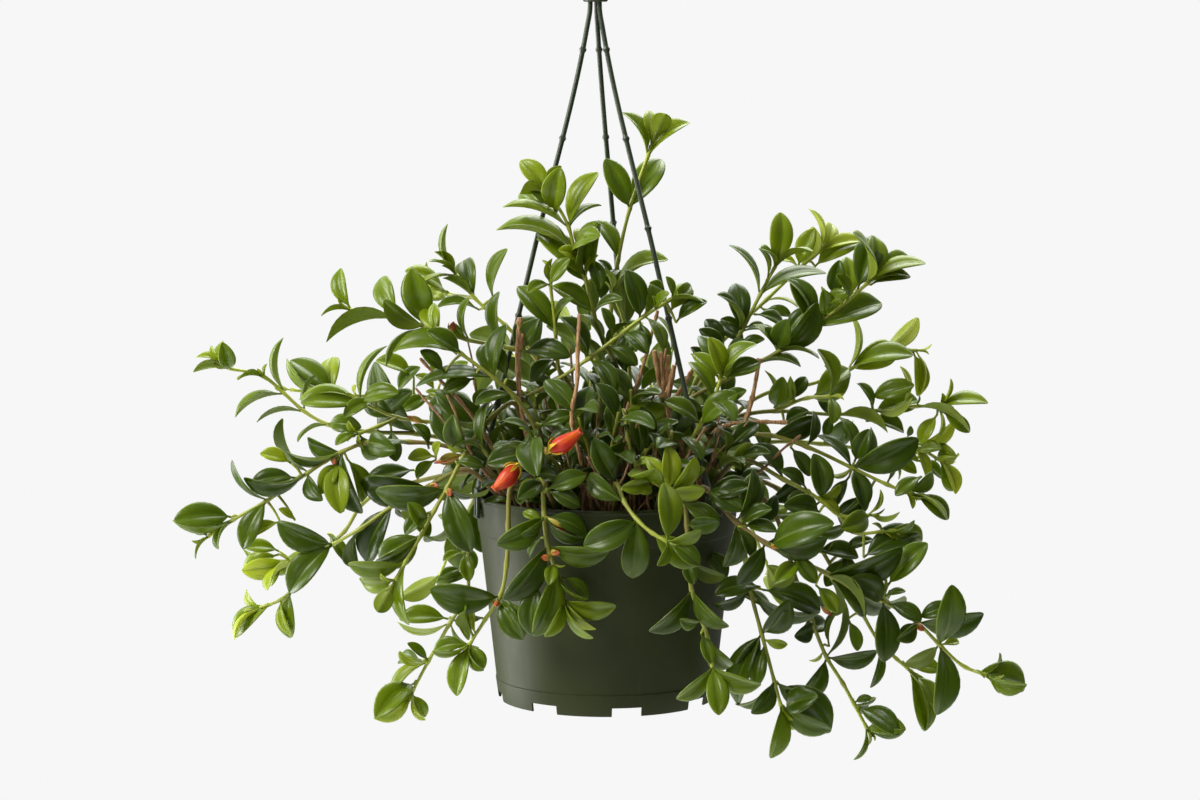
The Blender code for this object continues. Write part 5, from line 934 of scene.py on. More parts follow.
def add_leaf(pile, root, frame_of_leaf, draw, tone, width=LEAF_WIDTH, grid=None,
             thickness=BLADE_THICKNESS, run=1.0):
    """Add a leaf: a stalk that widens to a folded, arched blade with a keel and a thin edge."""
    length = frame_of_leaf[0]
    root, along, above = (np.array(part) for part in (root, *frame_of_leaf[1:]))
    aside = np.cross(along, above)
    grid = grid or ("fine" if length > SMALLEST_FINE_LEAF else "small")
    across, blade = (np.array(places) for places in LEAF_GRIDS[grid])
    tone = min(1.0, max(0.0, tone))
    stalk = min(LEAF_STALK_LENGTH, 0.14 * length)
    stalk_radius = min(LEAF_STALK_RADIUS, 0.05 * length)
    half = length * width / 2 * draw.uniform(0.98, 1.1)
    fold = LEAF_FOLD * draw.uniform(0.5, 1.7)
    bend = draw.uniform(-0.045, 0.045) * length
    twist = draw.uniform(-0.16, 0.16)

    wide = half * (4.0 * blade * (1.0 - blade)) ** 0.7 * (1.0 + 0.24 * (blade - 0.5))
    wide = np.maximum(wide, stalk_radius * (1.0 - blade))
    wide = np.concatenate([[stalk_radius, stalk_radius * 0.9], np.maximum(wide, 0.25)])
    reaches = np.concatenate([[0.0, stalk * 0.55], stalk + blade * (length - stalk)])
    opened = np.clip(wide / (0.6 * half), 0.0, 1.0)[:, None]
    share = reaches / length
    bow = LEAF_BOW * length * 4.0 * share * (1.0 - share)
    swerve = bend * 4.0 * share * (1.0 - share)
    thick = np.minimum(wide, thickness) * (1.0 - 0.35 * share)

    ring_across = np.concatenate([across, across[-2:0:-1]])
    under = np.concatenate([np.zeros(len(across)), np.ones(len(across) - 2)])
    under[[0, len(across) - 1]] = 0.5
    spread = np.abs(ring_across)
    out = wide[:, None] * ring_across
    folded = wide[:, None] * opened * (fold * spread + LEAF_SIDE_BULGE * 4.0 * spread
                                       * (1.0 - spread) - 0.03 * spread ** 4)
    turned_by = twist * share[:, None]
    body = thick[:, None] * (1.0 - spread ** 2.4) ** 0.5
    keel = KEEL_THICKNESS * (1.0 - share[:, None]) * np.exp(-(out / 0.8) ** 2)
    groove = 0.3 * np.exp(-(out / 0.55) ** 2) * opened
    lift = bow[:, None] + folded + np.where(under > 0.75, -body - keel, 0.35 * body - groove)
    lift = lift + out * np.sin(turned_by)
    out = out * np.cos(turned_by) - folded * np.sin(turned_by) + swerve[:, None]
    rings = (root + along * reaches[:, None, None] + above * lift[:, :, None]
             + aside * out[:, :, None])
    run = run * min(1.2, length / 32.0)
    marks = marked(rings, 0.5 + 0.5 * ring_across, share[:, None] * run, tone, under)
    pile.loft(rings, [root, root + along * length], marks,
              [(0.5, 0.0, tone, 0.5), (0.5, run, tone, 0.5)])


# Materials


class Nodes:
    """A node tree, with short ways to add to it."""

    def __init__(self, tree):
        self.tree = tree

    def node(self, kind, inputs=None, **settings):
        """A node with its settings made and its inputs set or linked."""
        node = self.tree.nodes.new("ShaderNode" + kind)
        for key, value in settings.items():
            setattr(node, key, value)
        for socket, value in (inputs or {}).items():
            self.put(value, node.inputs[socket])
        return node

    def put(self, value, socket):
        """Link a value to a socket, or set it there."""
        if isinstance(value, bpy.types.NodeSocket):
            self.tree.links.new(value, socket)
        else:
            socket.default_value = value

    def maths(self, operation, first, second=0.0, third=0.0, clamp=False):
        """One Math node."""
        return self.node("Math", {0: first, 1: second, 2: third}, operation=operation,
                         use_clamp=clamp).outputs[0]

    def times(self, first, second, plus=None):
        """Two values multiplied, and a third added."""
        if plus is None:
            return self.maths("MULTIPLY", first, second)
        return self.maths("MULTIPLY_ADD", first, second, plus)

    def step(self, value, low, high, to_low=0.0, to_high=1.0):
        """A soft step of a value between two limits."""
        return self.node("MapRange", {0: value, 1: low, 2: high, 3: to_low, 4: to_high},
                         interpolation_type="SMOOTHSTEP").outputs[0]


class Finish(Nodes):
    """A material round one Principled shader."""

    def __init__(self, name, **settings):
        self.material = bpy.data.materials.new(name)
        self.material.use_nodes = True
        super().__init__(self.material.node_tree)
        self.shader = self.tree.nodes["Principled BSDF"]
        for socket, value in settings.items():
            self.shader.inputs[socket.replace("_", " ")].default_value = value

    def mix(self, share, first, second, blend="MIX"):
        """Two colours mixed."""
        return self.node("Mix", {0: share, 6: first, 7: second}, data_type="RGBA",
                         blend_type=blend).outputs[2]

    def over(self, colour, share, *layer):
        """A colour with a share of another laid over it."""
        return self.mix(share, colour, (*layer, 1.0))

    def ramp(self, value, *stops):
        """A value turned into a colour by stops of a place and a colour."""
        node = self.node("ValToRGB", {0: value})
        elements = node.color_ramp.elements
        while len(elements) < len(stops):
            elements.new(0.5)
        for element, (place, *colour) in zip(elements, stops):
            element.position = place
            element.color = (*colour, 1.0)
        return node.outputs[0]

    def noise(self, scale, detail=2.0, stretch=None, roughness=0.5):
        """Noise in the object's own space, from 0 to 1, finer for a larger scale."""
        where = self.node("TexCoord").outputs["Object"]
        if stretch:
            where = self.node("Mapping", {0: where, 3: stretch}).outputs[0]
        return self.node("TexNoise", {"Vector": where, "Scale": scale, "Detail": detail,
                                      "Roughness": roughness}).outputs[0]

    def marks(self, layer):
        """The two marks that a UV layer carries."""
        spot = self.node("UVMap", uv_map=layer).outputs[0]
        return self.node("SeparateXYZ", {0: spot}).outputs[:2]

    def blend(self, share, shader):
        """The Principled shader blended with another one."""
        both = self.node("MixShader", {0: share, 1: self.shader.outputs[0], 2: shader.outputs[0]})
        self.put(both.outputs[0], self.tree.nodes["Material Output"].inputs[0])

    def done(self, colour, roughness, relief, depth):
        """The material with its colour, its roughness and a relief of a depth in millimetres."""
        bump = self.node("Bump", {"Height": relief, "Distance": depth * MM, "Strength": 1.0})
        for socket, value in (("Base Color", colour), ("Roughness", roughness),
                              ("Normal", bump.outputs[0])):
            self.put(value, self.shader.inputs[socket])
        return self.material


def leaf_finish():
    """A glossy leaf: dark to yellow-green by age, with midrib, veins, rim and paler underside."""
    finish = Finish("leaf", IOR=1.36)
    across, along = finish.marks("place")
    age, side = finish.marks("tone")
    out = finish.maths("ABSOLUTE", finish.times(across, 2.0, -1.0))
    patches = finish.noise(70.0)
    fine = finish.noise(900.0)
    tone = finish.maths("ADD", age, finish.times(patches, 0.24, -0.12), clamp=True)
    wave = finish.times(out, -2.1, finish.times(along, 9.0))
    vein = finish.step(finish.maths("PINGPONG", wave, 0.5), 0.0, 0.11, 1.0, 0.0)
    vein = finish.times(vein, finish.step(out, 0.9, 0.6))
    vein = finish.times(vein, finish.step(age, 0.45, 0.8, 1.0, 0.25))
    midrib = finish.times(finish.step(out, 0.02, 0.11, 1.0, 0.0),
                          finish.step(along, 0.1, 1.0, 0.85, 0.15))
    top = finish.ramp(tone, (0.0, 0.020, 0.040, 0.0015), (0.3, 0.048, 0.085, 0.002),
                      (0.6, 0.130, 0.190, 0.005), (0.82, 0.230, 0.295, 0.010),
                      (1.0, 0.350, 0.410, 0.030))
    top = finish.over(top, finish.times(vein, 0.035), 0.16, 0.24, 0.03)
    top = finish.over(top, midrib, 0.16, 0.23, 0.03)
    top = finish.over(top, finish.times(finish.step(out, 0.9, 1.0), 0.55), 0.25, 0.32, 0.05)
    under = finish.ramp(tone, (0.0, 0.070, 0.105, 0.012), (0.4, 0.125, 0.170, 0.016),
                        (0.75, 0.240, 0.300, 0.030), (1.0, 0.370, 0.430, 0.060))
    under = finish.over(under, finish.times(midrib, 0.8), 0.30, 0.36, 0.12)
    facing = finish.step(side, 0.4, 0.6)
    speckle = finish.step(fine, 0.3, 0.7, 0.96, 1.03)
    speckle = finish.node("CombineColor", {0: speckle, 1: speckle, 2: speckle}).outputs[0]
    colour = finish.mix(1.0, finish.mix(facing, top, under), speckle, "MULTIPLY")
    dust = finish.times(finish.step(patches, 0.62, 0.78), 0.3)
    colour = finish.over(colour, dust, 0.21, 0.26, 0.11)
    glow = finish.ramp(tone, (0.0, 0.14, 0.23, 0.002), (0.5, 0.42, 0.56, 0.01),
                       (1.0, 0.84, 0.90, 0.10))
    dimmed = finish.ramp(vein, (0.0, 1.0, 1.0, 1.0), (1.0, 0.88, 0.9, 0.82))
    glow = finish.mix(1.0, glow, dimmed, "MULTIPLY")
    finish.blend(0.24, finish.node("BsdfTranslucent", {"Color": glow}))
    roughness = finish.maths("ADD", finish.step(facing, 0.0, 1.0, 0.25, 0.46),
                           finish.times(fine, 0.1))
    return finish.done(colour, roughness, finish.times(vein, -0.12, finish.times(fine, 0.1)), 0.12)


def stem_finish():
    """Stem skin: brown and rough where old, yellow-green and smooth where young."""
    finish = Finish("stem_skin", Coat_Weight=0.08, Coat_Roughness=0.35)
    age = finish.marks("tone")[0]
    streaks = finish.noise(700.0, 3.0)
    blotches = finish.noise(120.0)
    tone = finish.maths("ADD", age, finish.times(blotches, 0.4, -0.2), clamp=True)
    colour = finish.ramp(tone, (0.0, 0.085, 0.050, 0.020), (0.25, 0.150, 0.105, 0.024),
                         (0.45, 0.180, 0.185, 0.016), (1.0, 0.330, 0.400, 0.030))
    colour = finish.over(colour, finish.times(finish.step(streaks, 0.5, 0.75), 0.3),
                         0.24, 0.17, 0.05)
    return finish.done(colour, finish.step(tone, 0.0, 1.0, 0.75, 0.4),
                       finish.maths("ADD", streaks, finish.times(blotches, 0.5)), 0.25)


def pot_finish():
    """Thin moulded plastic: olive green, satin, with faint scuffs and dust."""
    finish = Finish("pot_green", IOR=1.3)
    clouds = finish.noise(14.0, 3.0)
    scuffs = finish.noise(160.0, 4.0, stretch=(1.0, 1.0, 0.22))
    colour = finish.ramp(clouds, (0.3, 0.014, 0.0190, 0.0020), (0.7, 0.020, 0.0265, 0.0040))
    dust = finish.times(finish.step(scuffs, 0.6, 0.85), 0.12)
    return finish.done(finish.over(colour, dust, 0.10, 0.11, 0.05),
                       finish.times(scuffs, 0.2, 0.42),
                       finish.times(finish.noise(2600.0), 0.3, scuffs), 0.06)


def hanger_finish():
    """The strands' plastic: darker than the pot, with fine lines along it and worn lights."""
    finish = Finish("hanger_green", IOR=1.46)
    patches = finish.noise(55.0, 3.0)
    lines = finish.noise(900.0, stretch=(1.0, 1.0, 0.05))
    colour = finish.ramp(patches, (0.3, 0.012, 0.022, 0.009), (0.75, 0.030, 0.044, 0.020))
    worn = finish.times(finish.step(lines, 0.55, 0.8), 0.2)
    return finish.done(finish.over(colour, worn, 0.08, 0.10, 0.05),
                       finish.times(lines, 0.25, 0.28), lines, 0.05)


def soil_finish():
    """Dark peat with lighter crumbs."""
    finish = Finish("peat")
    crumbs = finish.noise(420.0, 5.0, roughness=0.7)
    colour = finish.ramp(crumbs, (0.3, 0.009, 0.006, 0.004), (0.55, 0.032, 0.020, 0.012),
                         (0.75, 0.085, 0.055, 0.034))
    return finish.done(colour, 0.95, crumbs, 1.2)


def moss_finish():
    """Moss: dull green to straw."""
    finish = Finish("moss_green")
    colour = finish.ramp(finish.noise(130.0, 3.0), (0.3, 0.030, 0.040, 0.010),
                         (0.6, 0.085, 0.095, 0.025), (0.8, 0.180, 0.150, 0.070))
    return finish.done(colour, 0.85, finish.noise(1500.0), 0.3)


def bark_finish():
    """Dead wood: tan bark with dark cracks, paler where it is cut, darker by its tone mark as painted
    shade.
    """
    finish = Finish("old_bark")
    fibres = finish.noise(900.0, 5.0, stretch=(1.0, 1.0, 0.15), roughness=0.65)
    tone, cut = finish.marks("tone")
    colour = finish.ramp(fibres, (0.34, 0.100, 0.052, 0.018), (0.5, 0.400, 0.215, 0.095),
                         (0.68, 0.670, 0.450, 0.250))
    colour = finish.over(colour, finish.times(finish.noise(90.0), 0.5), 0.32, 0.17, 0.07)
    # Painted shade: the tone mark darkens the bark of twigs inside the crown.
    colour = finish.over(colour, finish.times(tone, 0.65), 0.09, 0.048, 0.018)
    colour = finish.over(colour, finish.step(cut, 0.6, 0.9), 0.46, 0.33, 0.20)
    return finish.done(colour, 0.85, fibres, 0.5)


def petal_finish():
    """The pouch: waxy orange-red, pinker near its base, darker at its mouth."""
    finish = Finish("petal", IOR=1.33, Coat_Weight=0.08, Coat_Roughness=0.25,
                    Subsurface_Weight=0.1, Subsurface_Scale=0.002)
    turn, along = finish.marks("place")
    patches = finish.noise(260.0)
    lines = finish.maths("PINGPONG", finish.times(turn, 20.0), 0.5)
    colour = finish.ramp(along, (0.0, 0.42, 0.10, 0.020), (0.16, 0.40, 0.020, 0.009),
                         (0.55, 0.41, 0.014, 0.005), (0.82, 0.48, 0.050, 0.007),
                         (0.95, 0.36, 0.022, 0.009), (1.0, 0.40, 0.12, 0.07))
    bands = finish.maths("PINGPONG", finish.times(turn, 3.0, finish.times(patches, 0.3)), 0.5)
    bands = finish.times(finish.step(bands, 0.22, 0.42), finish.step(along, 0.15, 0.75, 0.25, 0.85))
    colour = finish.over(colour, bands, 0.60, 0.105, 0.004)
    pink = finish.times(finish.step(patches, 0.5, 0.7), finish.step(along, 0.6, 0.1, 0.0, 0.6))
    colour = finish.over(colour, pink, 0.50, 0.055, 0.040)
    colour = finish.over(colour, finish.step(lines, 0.12, 0.0, 0.0, 0.4), 0.24, 0.008, 0.004)
    return finish.done(colour, finish.times(patches, 0.2, 0.3),
                       finish.maths("ADD", lines, patches), 0.12)


def waxy_finish(name, coat, grain, stops, share, layer):
    """Waxy skin whose colour runs along the piece, with patches of another colour."""
    finish = Finish(name, IOR=1.42, Coat_Weight=coat, Coat_Roughness=0.3)
    along = finish.marks("place")[1]
    patches = finish.noise(grain)
    colour = finish.over(finish.ramp(along, *stops), finish.times(patches, share), *layer)
    return finish.done(colour, finish.times(patches, 0.2, 0.35), patches, 0.08)


def bud_finish():
    """A bud: yellow at its base and orange at its tip."""
    stops = ((0.0, 0.26, 0.30, 0.025), (0.35, 0.46, 0.27, 0.025), (0.7, 0.47, 0.11, 0.025),
             (1.0, 0.36, 0.05, 0.02))
    return waxy_finish("bud", 0.15, 500.0, stops, 0.3, (0.55, 0.22, 0.07))


def calyx_finish():
    """The stalk and lobes that hold a flower: yellow-green running to orange-yellow."""
    stops = ((0.0, 0.30, 0.26, 0.014), (0.2, 0.56, 0.35, 0.012), (0.8, 0.62, 0.33, 0.012),
             (1.0, 0.50, 0.17, 0.010))
    return waxy_finish("calyx_yellow", 0.12, 300.0, stops, 0.4, (0.46, 0.34, 0.015))


# The pot, the soil and the hanger


def box_cutter(centre, size, turn):
    """A box to cut with, its sides along, across and up from a turn about the pot."""
    shape = bmesh.new()
    bmesh.ops.create_cube(shape, size=1.0)
    bmesh.ops.scale(shape, vec=Vector(size) * MM, verts=shape.verts)
    bmesh.ops.rotate(shape, matrix=Matrix.Rotation(math.radians(turn - 90.0), 3, "Z"),
                     verts=shape.verts)
    bmesh.ops.translate(shape, vec=world(centre), verts=shape.verts)
    return shape


def round_cutter(centre, radius, height):
    """A cylinder to cut with."""
    shape = bmesh.new()
    bmesh.ops.create_cone(shape, cap_ends=True, segments=CUTTER_SIDES, radius1=radius * MM,
                          radius2=radius * MM, depth=height * MM)
    bmesh.ops.translate(shape, vec=world(centre), verts=shape.verts)
    return shape


def cut_away(mesh, shapes):
    """A mesh with shapes cut out of it by one exact Boolean."""
    group = bpy.data.collections.new("cutters")
    for shape in shapes:
        tool = bpy.data.meshes.new("cutter")
        shape.to_mesh(tool)
        shape.free()
        group.objects.link(bpy.data.objects.new("cutter", tool))
    thing = bpy.data.objects.new("uncut", mesh)
    bpy.context.scene.collection.objects.link(thing)
    step = thing.modifiers.new("cut", "BOOLEAN")
    step.operation = "DIFFERENCE"
    step.operand_type = "COLLECTION"
    step.collection = group
    step.solver = "EXACT"
    graph = bpy.context.evaluated_depsgraph_get()
    result = bpy.data.meshes.new_from_object(thing.evaluated_get(graph))
    for leftover in (thing, *group.objects):
        bpy.data.objects.remove(leftover)
    bpy.data.collections.remove(group)
    return result


def pot_profile():
    """The pot's wall from the middle of the floor over the rim to the middle underneath."""
    under = SKIRT_HEIGHT - POT_HEIGHT
    floor = under + FLOOR_THICKNESS
    floor_edge = inner_radius(floor)
    inside = inner_radius(0.0)
    lip = RIM_RADIUS + LIP
    band = -BAND_HEIGHT
    below_band = outer_radius(band)
    band_out = below_band + BAND_STEP
    step = BASE_STEP_HEIGHT - POT_HEIGHT
    step_out = outer_radius(step) + BASE_STEP
    return [
        (FLAT_MIDDLE, floor), (floor_edge - 2.5, floor), (floor_edge - 0.8, floor + 0.5),
        (floor_edge, floor + 2.5), (inner_radius(-80.0), -80.0), (inner_radius(-50.0), -50.0),
        (inner_radius(band), band), (inside - 0.2, -3.0), (inside, -0.7), (inside + 0.5, -0.1),
        (inside + 1.1, 0.0), (RIM_RADIUS - 0.3, 0.0), (RIM_RADIUS + LIP * 0.6, -0.25),
        (lip, -0.9), (lip, -1.7), (RIM_RADIUS + LIP * 0.4, -2.3), (RIM_RADIUS - 0.1, -2.6),
        (band_out, band + 0.5), (band_out - 0.15, band + 0.05), (band_out - 0.5, band - 0.15),
        (below_band + 0.1, band - BAND_STEP), (below_band - 0.05, band - 1.6),
        (outer_radius(-60.0), -60.0), (outer_radius(-90.0), -90.0),
        (outer_radius(step), step + 0.4), (step_out, step), (step_out - 0.05, step - 0.8),
        (BASE_RADIUS + 0.15, -POT_HEIGHT + 1.0), (BASE_RADIUS - 0.1, -POT_HEIGHT + 0.2),
        (BASE_RADIUS - 0.4, -POT_HEIGHT), (BASE_RADIUS - WALL + 0.2, -POT_HEIGHT),
        (BASE_RADIUS - WALL, -POT_HEIGHT + 0.3), (inner_radius(under) + 0.2, under - 0.6),
        (inner_radius(under) - 1.0, under), (FLAT_MIDDLE, under),
    ]


def make_pot(finish):
    """The pot: a turned wall with a rolled lip, band and steps, its notches and holes cut."""
    pile = Pile()
    add_turned(pile, pot_profile(), POT_SIDES)
    tools = []
    for number in range(NOTCH_COUNT):
        turn = NOTCH_TURN + number * 360.0 / NOTCH_COUNT
        centre = turned(turn, BASE_RADIUS - WALL / 2, NOTCH_HEIGHT / 2 - POT_HEIGHT - 1.0)
        tools.append(box_cutter(centre, (5.0 * WALL, NOTCH_WIDTH, NOTCH_HEIGHT + 2.0), turn))
        if number % 2:
            hole = turned(turn, BASE_RADIUS * 0.6, SKIRT_HEIGHT - POT_HEIGHT)
            tools.append(round_cutter(hole, DRAIN_RADIUS, 4.0 * FLOOR_THICKNESS))
    for turn in STRAND_TURNS.values():
        centre = turned(turn, RIM_RADIUS, -CLIP_SLOT_BELOW_RIM - CLIP_SLOT_HEIGHT / 2)
        tools.append(box_cutter(centre, (14.0, CLIP_WIDTH + 2 * SEAT_GAP, CLIP_SLOT_HEIGHT), turn))
    dress("pot_moulded", cut_away(pile.mesh("pot"), tools), [finish], ["pot"],
          MOULDED_CREASE)


def bumps(points, size, seed):
    """Smooth random heights from -1 to 1 over points, made of waves of about this length."""
    draw = random.Random(seed)
    total = np.zeros(len(points))
    for number in range(WAVES_IN_BUMPS):
        way = np.array([draw.gauss(0, 1) for axis in range(3)])
        way *= 2 * math.pi / (size * draw.uniform(0.6, 1.9) * np.linalg.norm(way))
        total += np.sin(points @ way + draw.uniform(0, 2 * math.pi))
    return total / 6.0


def make_soil(finish):
    """The soil: an uneven top, and loose crumbs of peat and bark on it."""
    top = -SOIL_DEPTH_BELOW_RIM
    bottom = SKIRT_HEIGHT + FLOOR_THICKNESS + SEAT_GAP - POT_HEIGHT
    edge = inner_radius(top) - SEAT_GAP
    pile = Pile()
    profile = [(1.5 + share * (edge - 2.5), top) for share in np.linspace(0.0, 1.0, SOIL_RINGS)]
    profile += [(edge - 0.3, top - 0.6), (inner_radius(-60.0) - SEAT_GAP, -60.0),
                (inner_radius(bottom) - SEAT_GAP, bottom), (10.0, bottom)]
    add_turned(pile, profile, SOIL_SIDES)
    points = pile.bodies[0][0]
    on_top = points[:, 2] > top - 0.1
    fall = np.clip((edge - np.hypot(points[:, 0], points[:, 1])) / 6.0, 0.0, 1.0)
    points[:, 2] += on_top * fall * sum(high * bumps(points, size, seed)
                                        for high, size, seed in SOIL_BUMPS)

    draw = random.Random(SEED + 1)
    for number in range(CRUMBS):
        spot = turned(draw.uniform(0.0, 360.0), edge * math.sqrt(draw.random()) - 1.6,
                      top + draw.uniform(-0.4, 1.0))
        size = draw.choice(CRUMB_SIZES) * draw.uniform(0.7, 1.2)
        way = unit(np.array([draw.gauss(0, 1), draw.gauss(0, 1), draw.gauss(0, 0.35)]))
        path = np.array(spot) + np.outer([-0.8, 0.0, 0.8], way) * size
        radii = [size * draw.uniform(*limits) for limits in ((0.3, 0.6), (0.5, 0.8), (0.3, 0.6))]
        add_tube(pile, path, radii, 5, flat=((0.2, 0.3, 1.0), [size * 0.3] * 3))
    dress("soil_top", pile, [finish], ["soil"])


def strand_points(turn):
    """The route of one strand, from its clip on the rim to its end in the hub."""
    foot = turned(turn, STRAND_FOOT_RADIUS, STRAND_FOOT_HEIGHT)
    gather = turned(turn, GATHER_RADIUS, GATHER_HEIGHT) - Vector((RIM_RIGHT_OF_SEAT, 0.0, 0.0))
    top = gather.copy()
    top.z = STRAND_TOP
    return [foot, foot.lerp(gather, 0.5), foot.lerp(gather, 0.97), gather.lerp(top, 0.25), top]


def add_bar(pile, turn, inside, outside, low, high, width):
    """Add an upright bar with rounded edges, set radially at a turn about the pot."""
    corner = min(0.35, 0.3 * (outside - inside), 0.3 * (high - low))
    outward = np.array(turned(turn, 1.0, 0.0))
    aside = np.cross((0.0, 0.0, 1.0), outward)
    half = np.array([width / 2, (outside - inside) / 2])
    corners = []
    for quarter, signs in enumerate(((1, 1), (-1, 1), (-1, -1), (1, -1))):
        for part in (0.0, 0.5, 1.0):
            angle = math.pi / 2 * (quarter + part)
            corners.append(signs * (half - corner)
                           + corner * np.array([math.cos(angle), math.sin(angle)]))
    corners = np.array(corners)
    middle = outward * (inside + outside) / 2
    soft = corner * 0.3
    rings = []
    for height, inset in ((low, corner), (low + soft, soft), (low + corner, 0.0),
                          (high - corner, 0.0), (high - soft, soft), (high, corner)):
        shrunk = corners * (1.0 - inset / half)
        rings.append(middle + np.outer(shrunk[:, 0], aside) + np.outer(shrunk[:, 1], outward)
                     + (0.0, 0.0, height))
    rings = np.array(rings)
    ends = [middle + (0.0, 0.0, low), middle + (0.0, 0.0, high)]
    pile.loft(rings, ends, marked(rings), np.zeros((2, 4)))


def make_strand(side, turn, finish):
    """A strand with its nubs, which flattens into the clip that goes through the pot's slot."""
    points = strand_points(turn)
    points[0] = points[0].lerp(points[1], 0.02)
    path = spaced(points, STRAND_STEP)[0]
    heights = path[:, 2]
    nubs = sum(np.exp(-((heights - NUB_TOP + NUB_STEP * number) / NUB_HALF_LENGTH) ** 2)
               for number in range(NUBS))
    near_foot = np.clip((24.0 - heights) / 18.0, 0.0, 1.0)
    near_foot = near_foot * near_foot * (3 - 2 * near_foot)
    wide = STRAND_RADIUS + NUB_SIZE * nubs + (CLIP_WIDTH / 2 - STRAND_RADIUS) * near_foot
    thick = STRAND_RADIUS + NUB_SIZE * nubs - 0.35 * near_foot
    pile = Pile()
    add_tube(pile, path, wide, STRAND_SIDES, flat=(np.array(turned(turn, 1.0, 0.0)), thick), round_end=0.2)

    slot = -CLIP_SLOT_BELOW_RIM - CLIP_SLOT_HEIGHT / 2
    plate = RIM_RADIUS + 0.4
    catch = inner_radius(slot) - 1.1
    tongue = CLIP_SLOT_HEIGHT / 2 - SEAT_GAP
    for bar in ((plate, plate + 2.2, slot - 4.0, 6.0, CLIP_WIDTH),
                (catch - 1.1, plate + 0.5, slot - tongue, slot + tongue, CLIP_WIDTH),
                (catch - 1.6, catch, slot - 3.4, slot + 3.4, CLIP_WIDTH),
                (plate + 2.1, plate + 2.8, slot - 2.6, 3.0, 1.4),
                (plate + 2.1, plate + 2.6, slot - 3.2, slot - 2.2, 5.6)):
        add_bar(pile, turn, *bar)
    dress("strand_" + side, pile, [finish], ["hanger_strand_" + side],
          HANGER_CREASE)


def make_hook(finish):
    """The grooved hub that holds the strands' ends, and the hook over it with its round tip."""
    middle = -RIM_RIGHT_OF_SEAT
    pile = Pile()
    side = [(0.9, 0.0), (0.2, 0.4), (0.0, 1.2), (0.0, 3.4), (0.7, 4.0), (0.7, 5.4), (0.0, 6.0),
            (0.0, 8.6), (0.7, 9.2), (1.0, 10.6)]
    profile = [(2.0, HUB_BOTTOM), *[(HUB_RADIUS - inset, HUB_BOTTOM + up) for inset, up in side],
               (HUB_RADIUS - 2.2, HUB_TOP - 1.2), (HUB_RADIUS - 3.6, HUB_TOP - 0.2), (3.0, HUB_TOP)]
    add_turned(pile, profile, HUB_SIDES, (middle, 0.0))
    tools = []
    for turn in STRAND_TURNS.values():
        end = strand_points(turn)[-1]
        depth = STRAND_TOP - HUB_BOTTOM + SEAT_GAP
        tools.append(round_cutter((end.x, end.y, HUB_BOTTOM + depth / 2 - 1.0),
                                  STRAND_RADIUS + HOLE_CLEARANCE, depth + 2.0))
    hub = cut_away(pile.mesh("hub"), tools)

    loop = HOOK_INSIDE_RADIUS + HOOK_WIRE_RADIUS
    centre = RIM_BELOW_SEAT - HOOK_INSIDE_RADIUS
    points = [(middle, 0.0, HUB_TOP - 4.0), (middle, 0.0, HUB_TOP + 4.0),
              (middle + loop * 0.5, 0.0, centre - loop * 1.05)]
    for step in range(11):
        angle = math.radians(-20.0 + 200.0 * step / 10)
        points.append((middle + loop * math.cos(angle), 0.0, centre + loop * math.sin(angle)))
    points.append((middle - loop * 1.05, 0.0, centre - 7.0))
    path, runs = spaced([Vector(point) for point in points], 1.2)
    radii = HOOK_WIRE_RADIUS + 0.5 * np.exp(-((runs[-1] - runs - 1.2) / 1.4) ** 2)
    radii += 1.2 * np.exp(-(runs / 5.0) ** 2)
    wire = Pile()
    add_tube(wire, path, radii, HOOK_SIDES, round_end=0.9)
    joined = bmesh.new()
    joined.from_mesh(hub)
    joined.from_mesh(wire.mesh("hook_wire"))
    joined.to_mesh(hub)
    joined.free()
    dress("hook_and_hub", hub, [finish], ["hanger_hook"], HANGER_CREASE)


# Twigs, flowers and buds


def make_twig(name, radius, branches, root, finish):
    """A cut woody twig: knotty bark, and a pale flat cut where it ends."""
    draw = random.Random(name)
    pile = Pile()
    routes = [[sight(*spot) for spot in branch] for branch in branches]
    routes[0] = root_points(root) + routes[0]
    for route in routes:
        path, runs = spaced(smooth(route), 1.6)
        knot = np.zeros(len(path))
        for number in range(int(runs[-1] / KNOT_SPACING) + 1):
            gaps = runs - draw.uniform(0.0, runs[-1])
            knot += KNOT_SIZE * radius * np.exp(-(gaps / KNOT_LENGTH) ** 2)
        wander = np.array([draw.uniform(-0.07, 0.07) for step in path]) * radius
        radii = 0.88 * radius * (1.0 - TWIG_TAPER * runs / runs[-1]) + knot + wander
        path = np.concatenate([path, path[-1:] + unit(path[-1] - path[-2]) * 0.05])
        radii = np.concatenate([radii, radii[-1:] * 0.86])
        rings = tube_rings(path, radii, TWIG_SIDES)
        cut = (np.arange(len(path)) == len(path) - 1)[:, None]
        pile.loft(rings, [path[0], path[-1]], marked(rings, ring_shares(TWIG_SIDES), chances=cut),
                  [(0.0, 0.0, 0.0, 0.0), (0.0, 0.0, 0.0, 1.0)])
    dress(name + "_bark", pile, [finish], [name], BARK_CREASE)


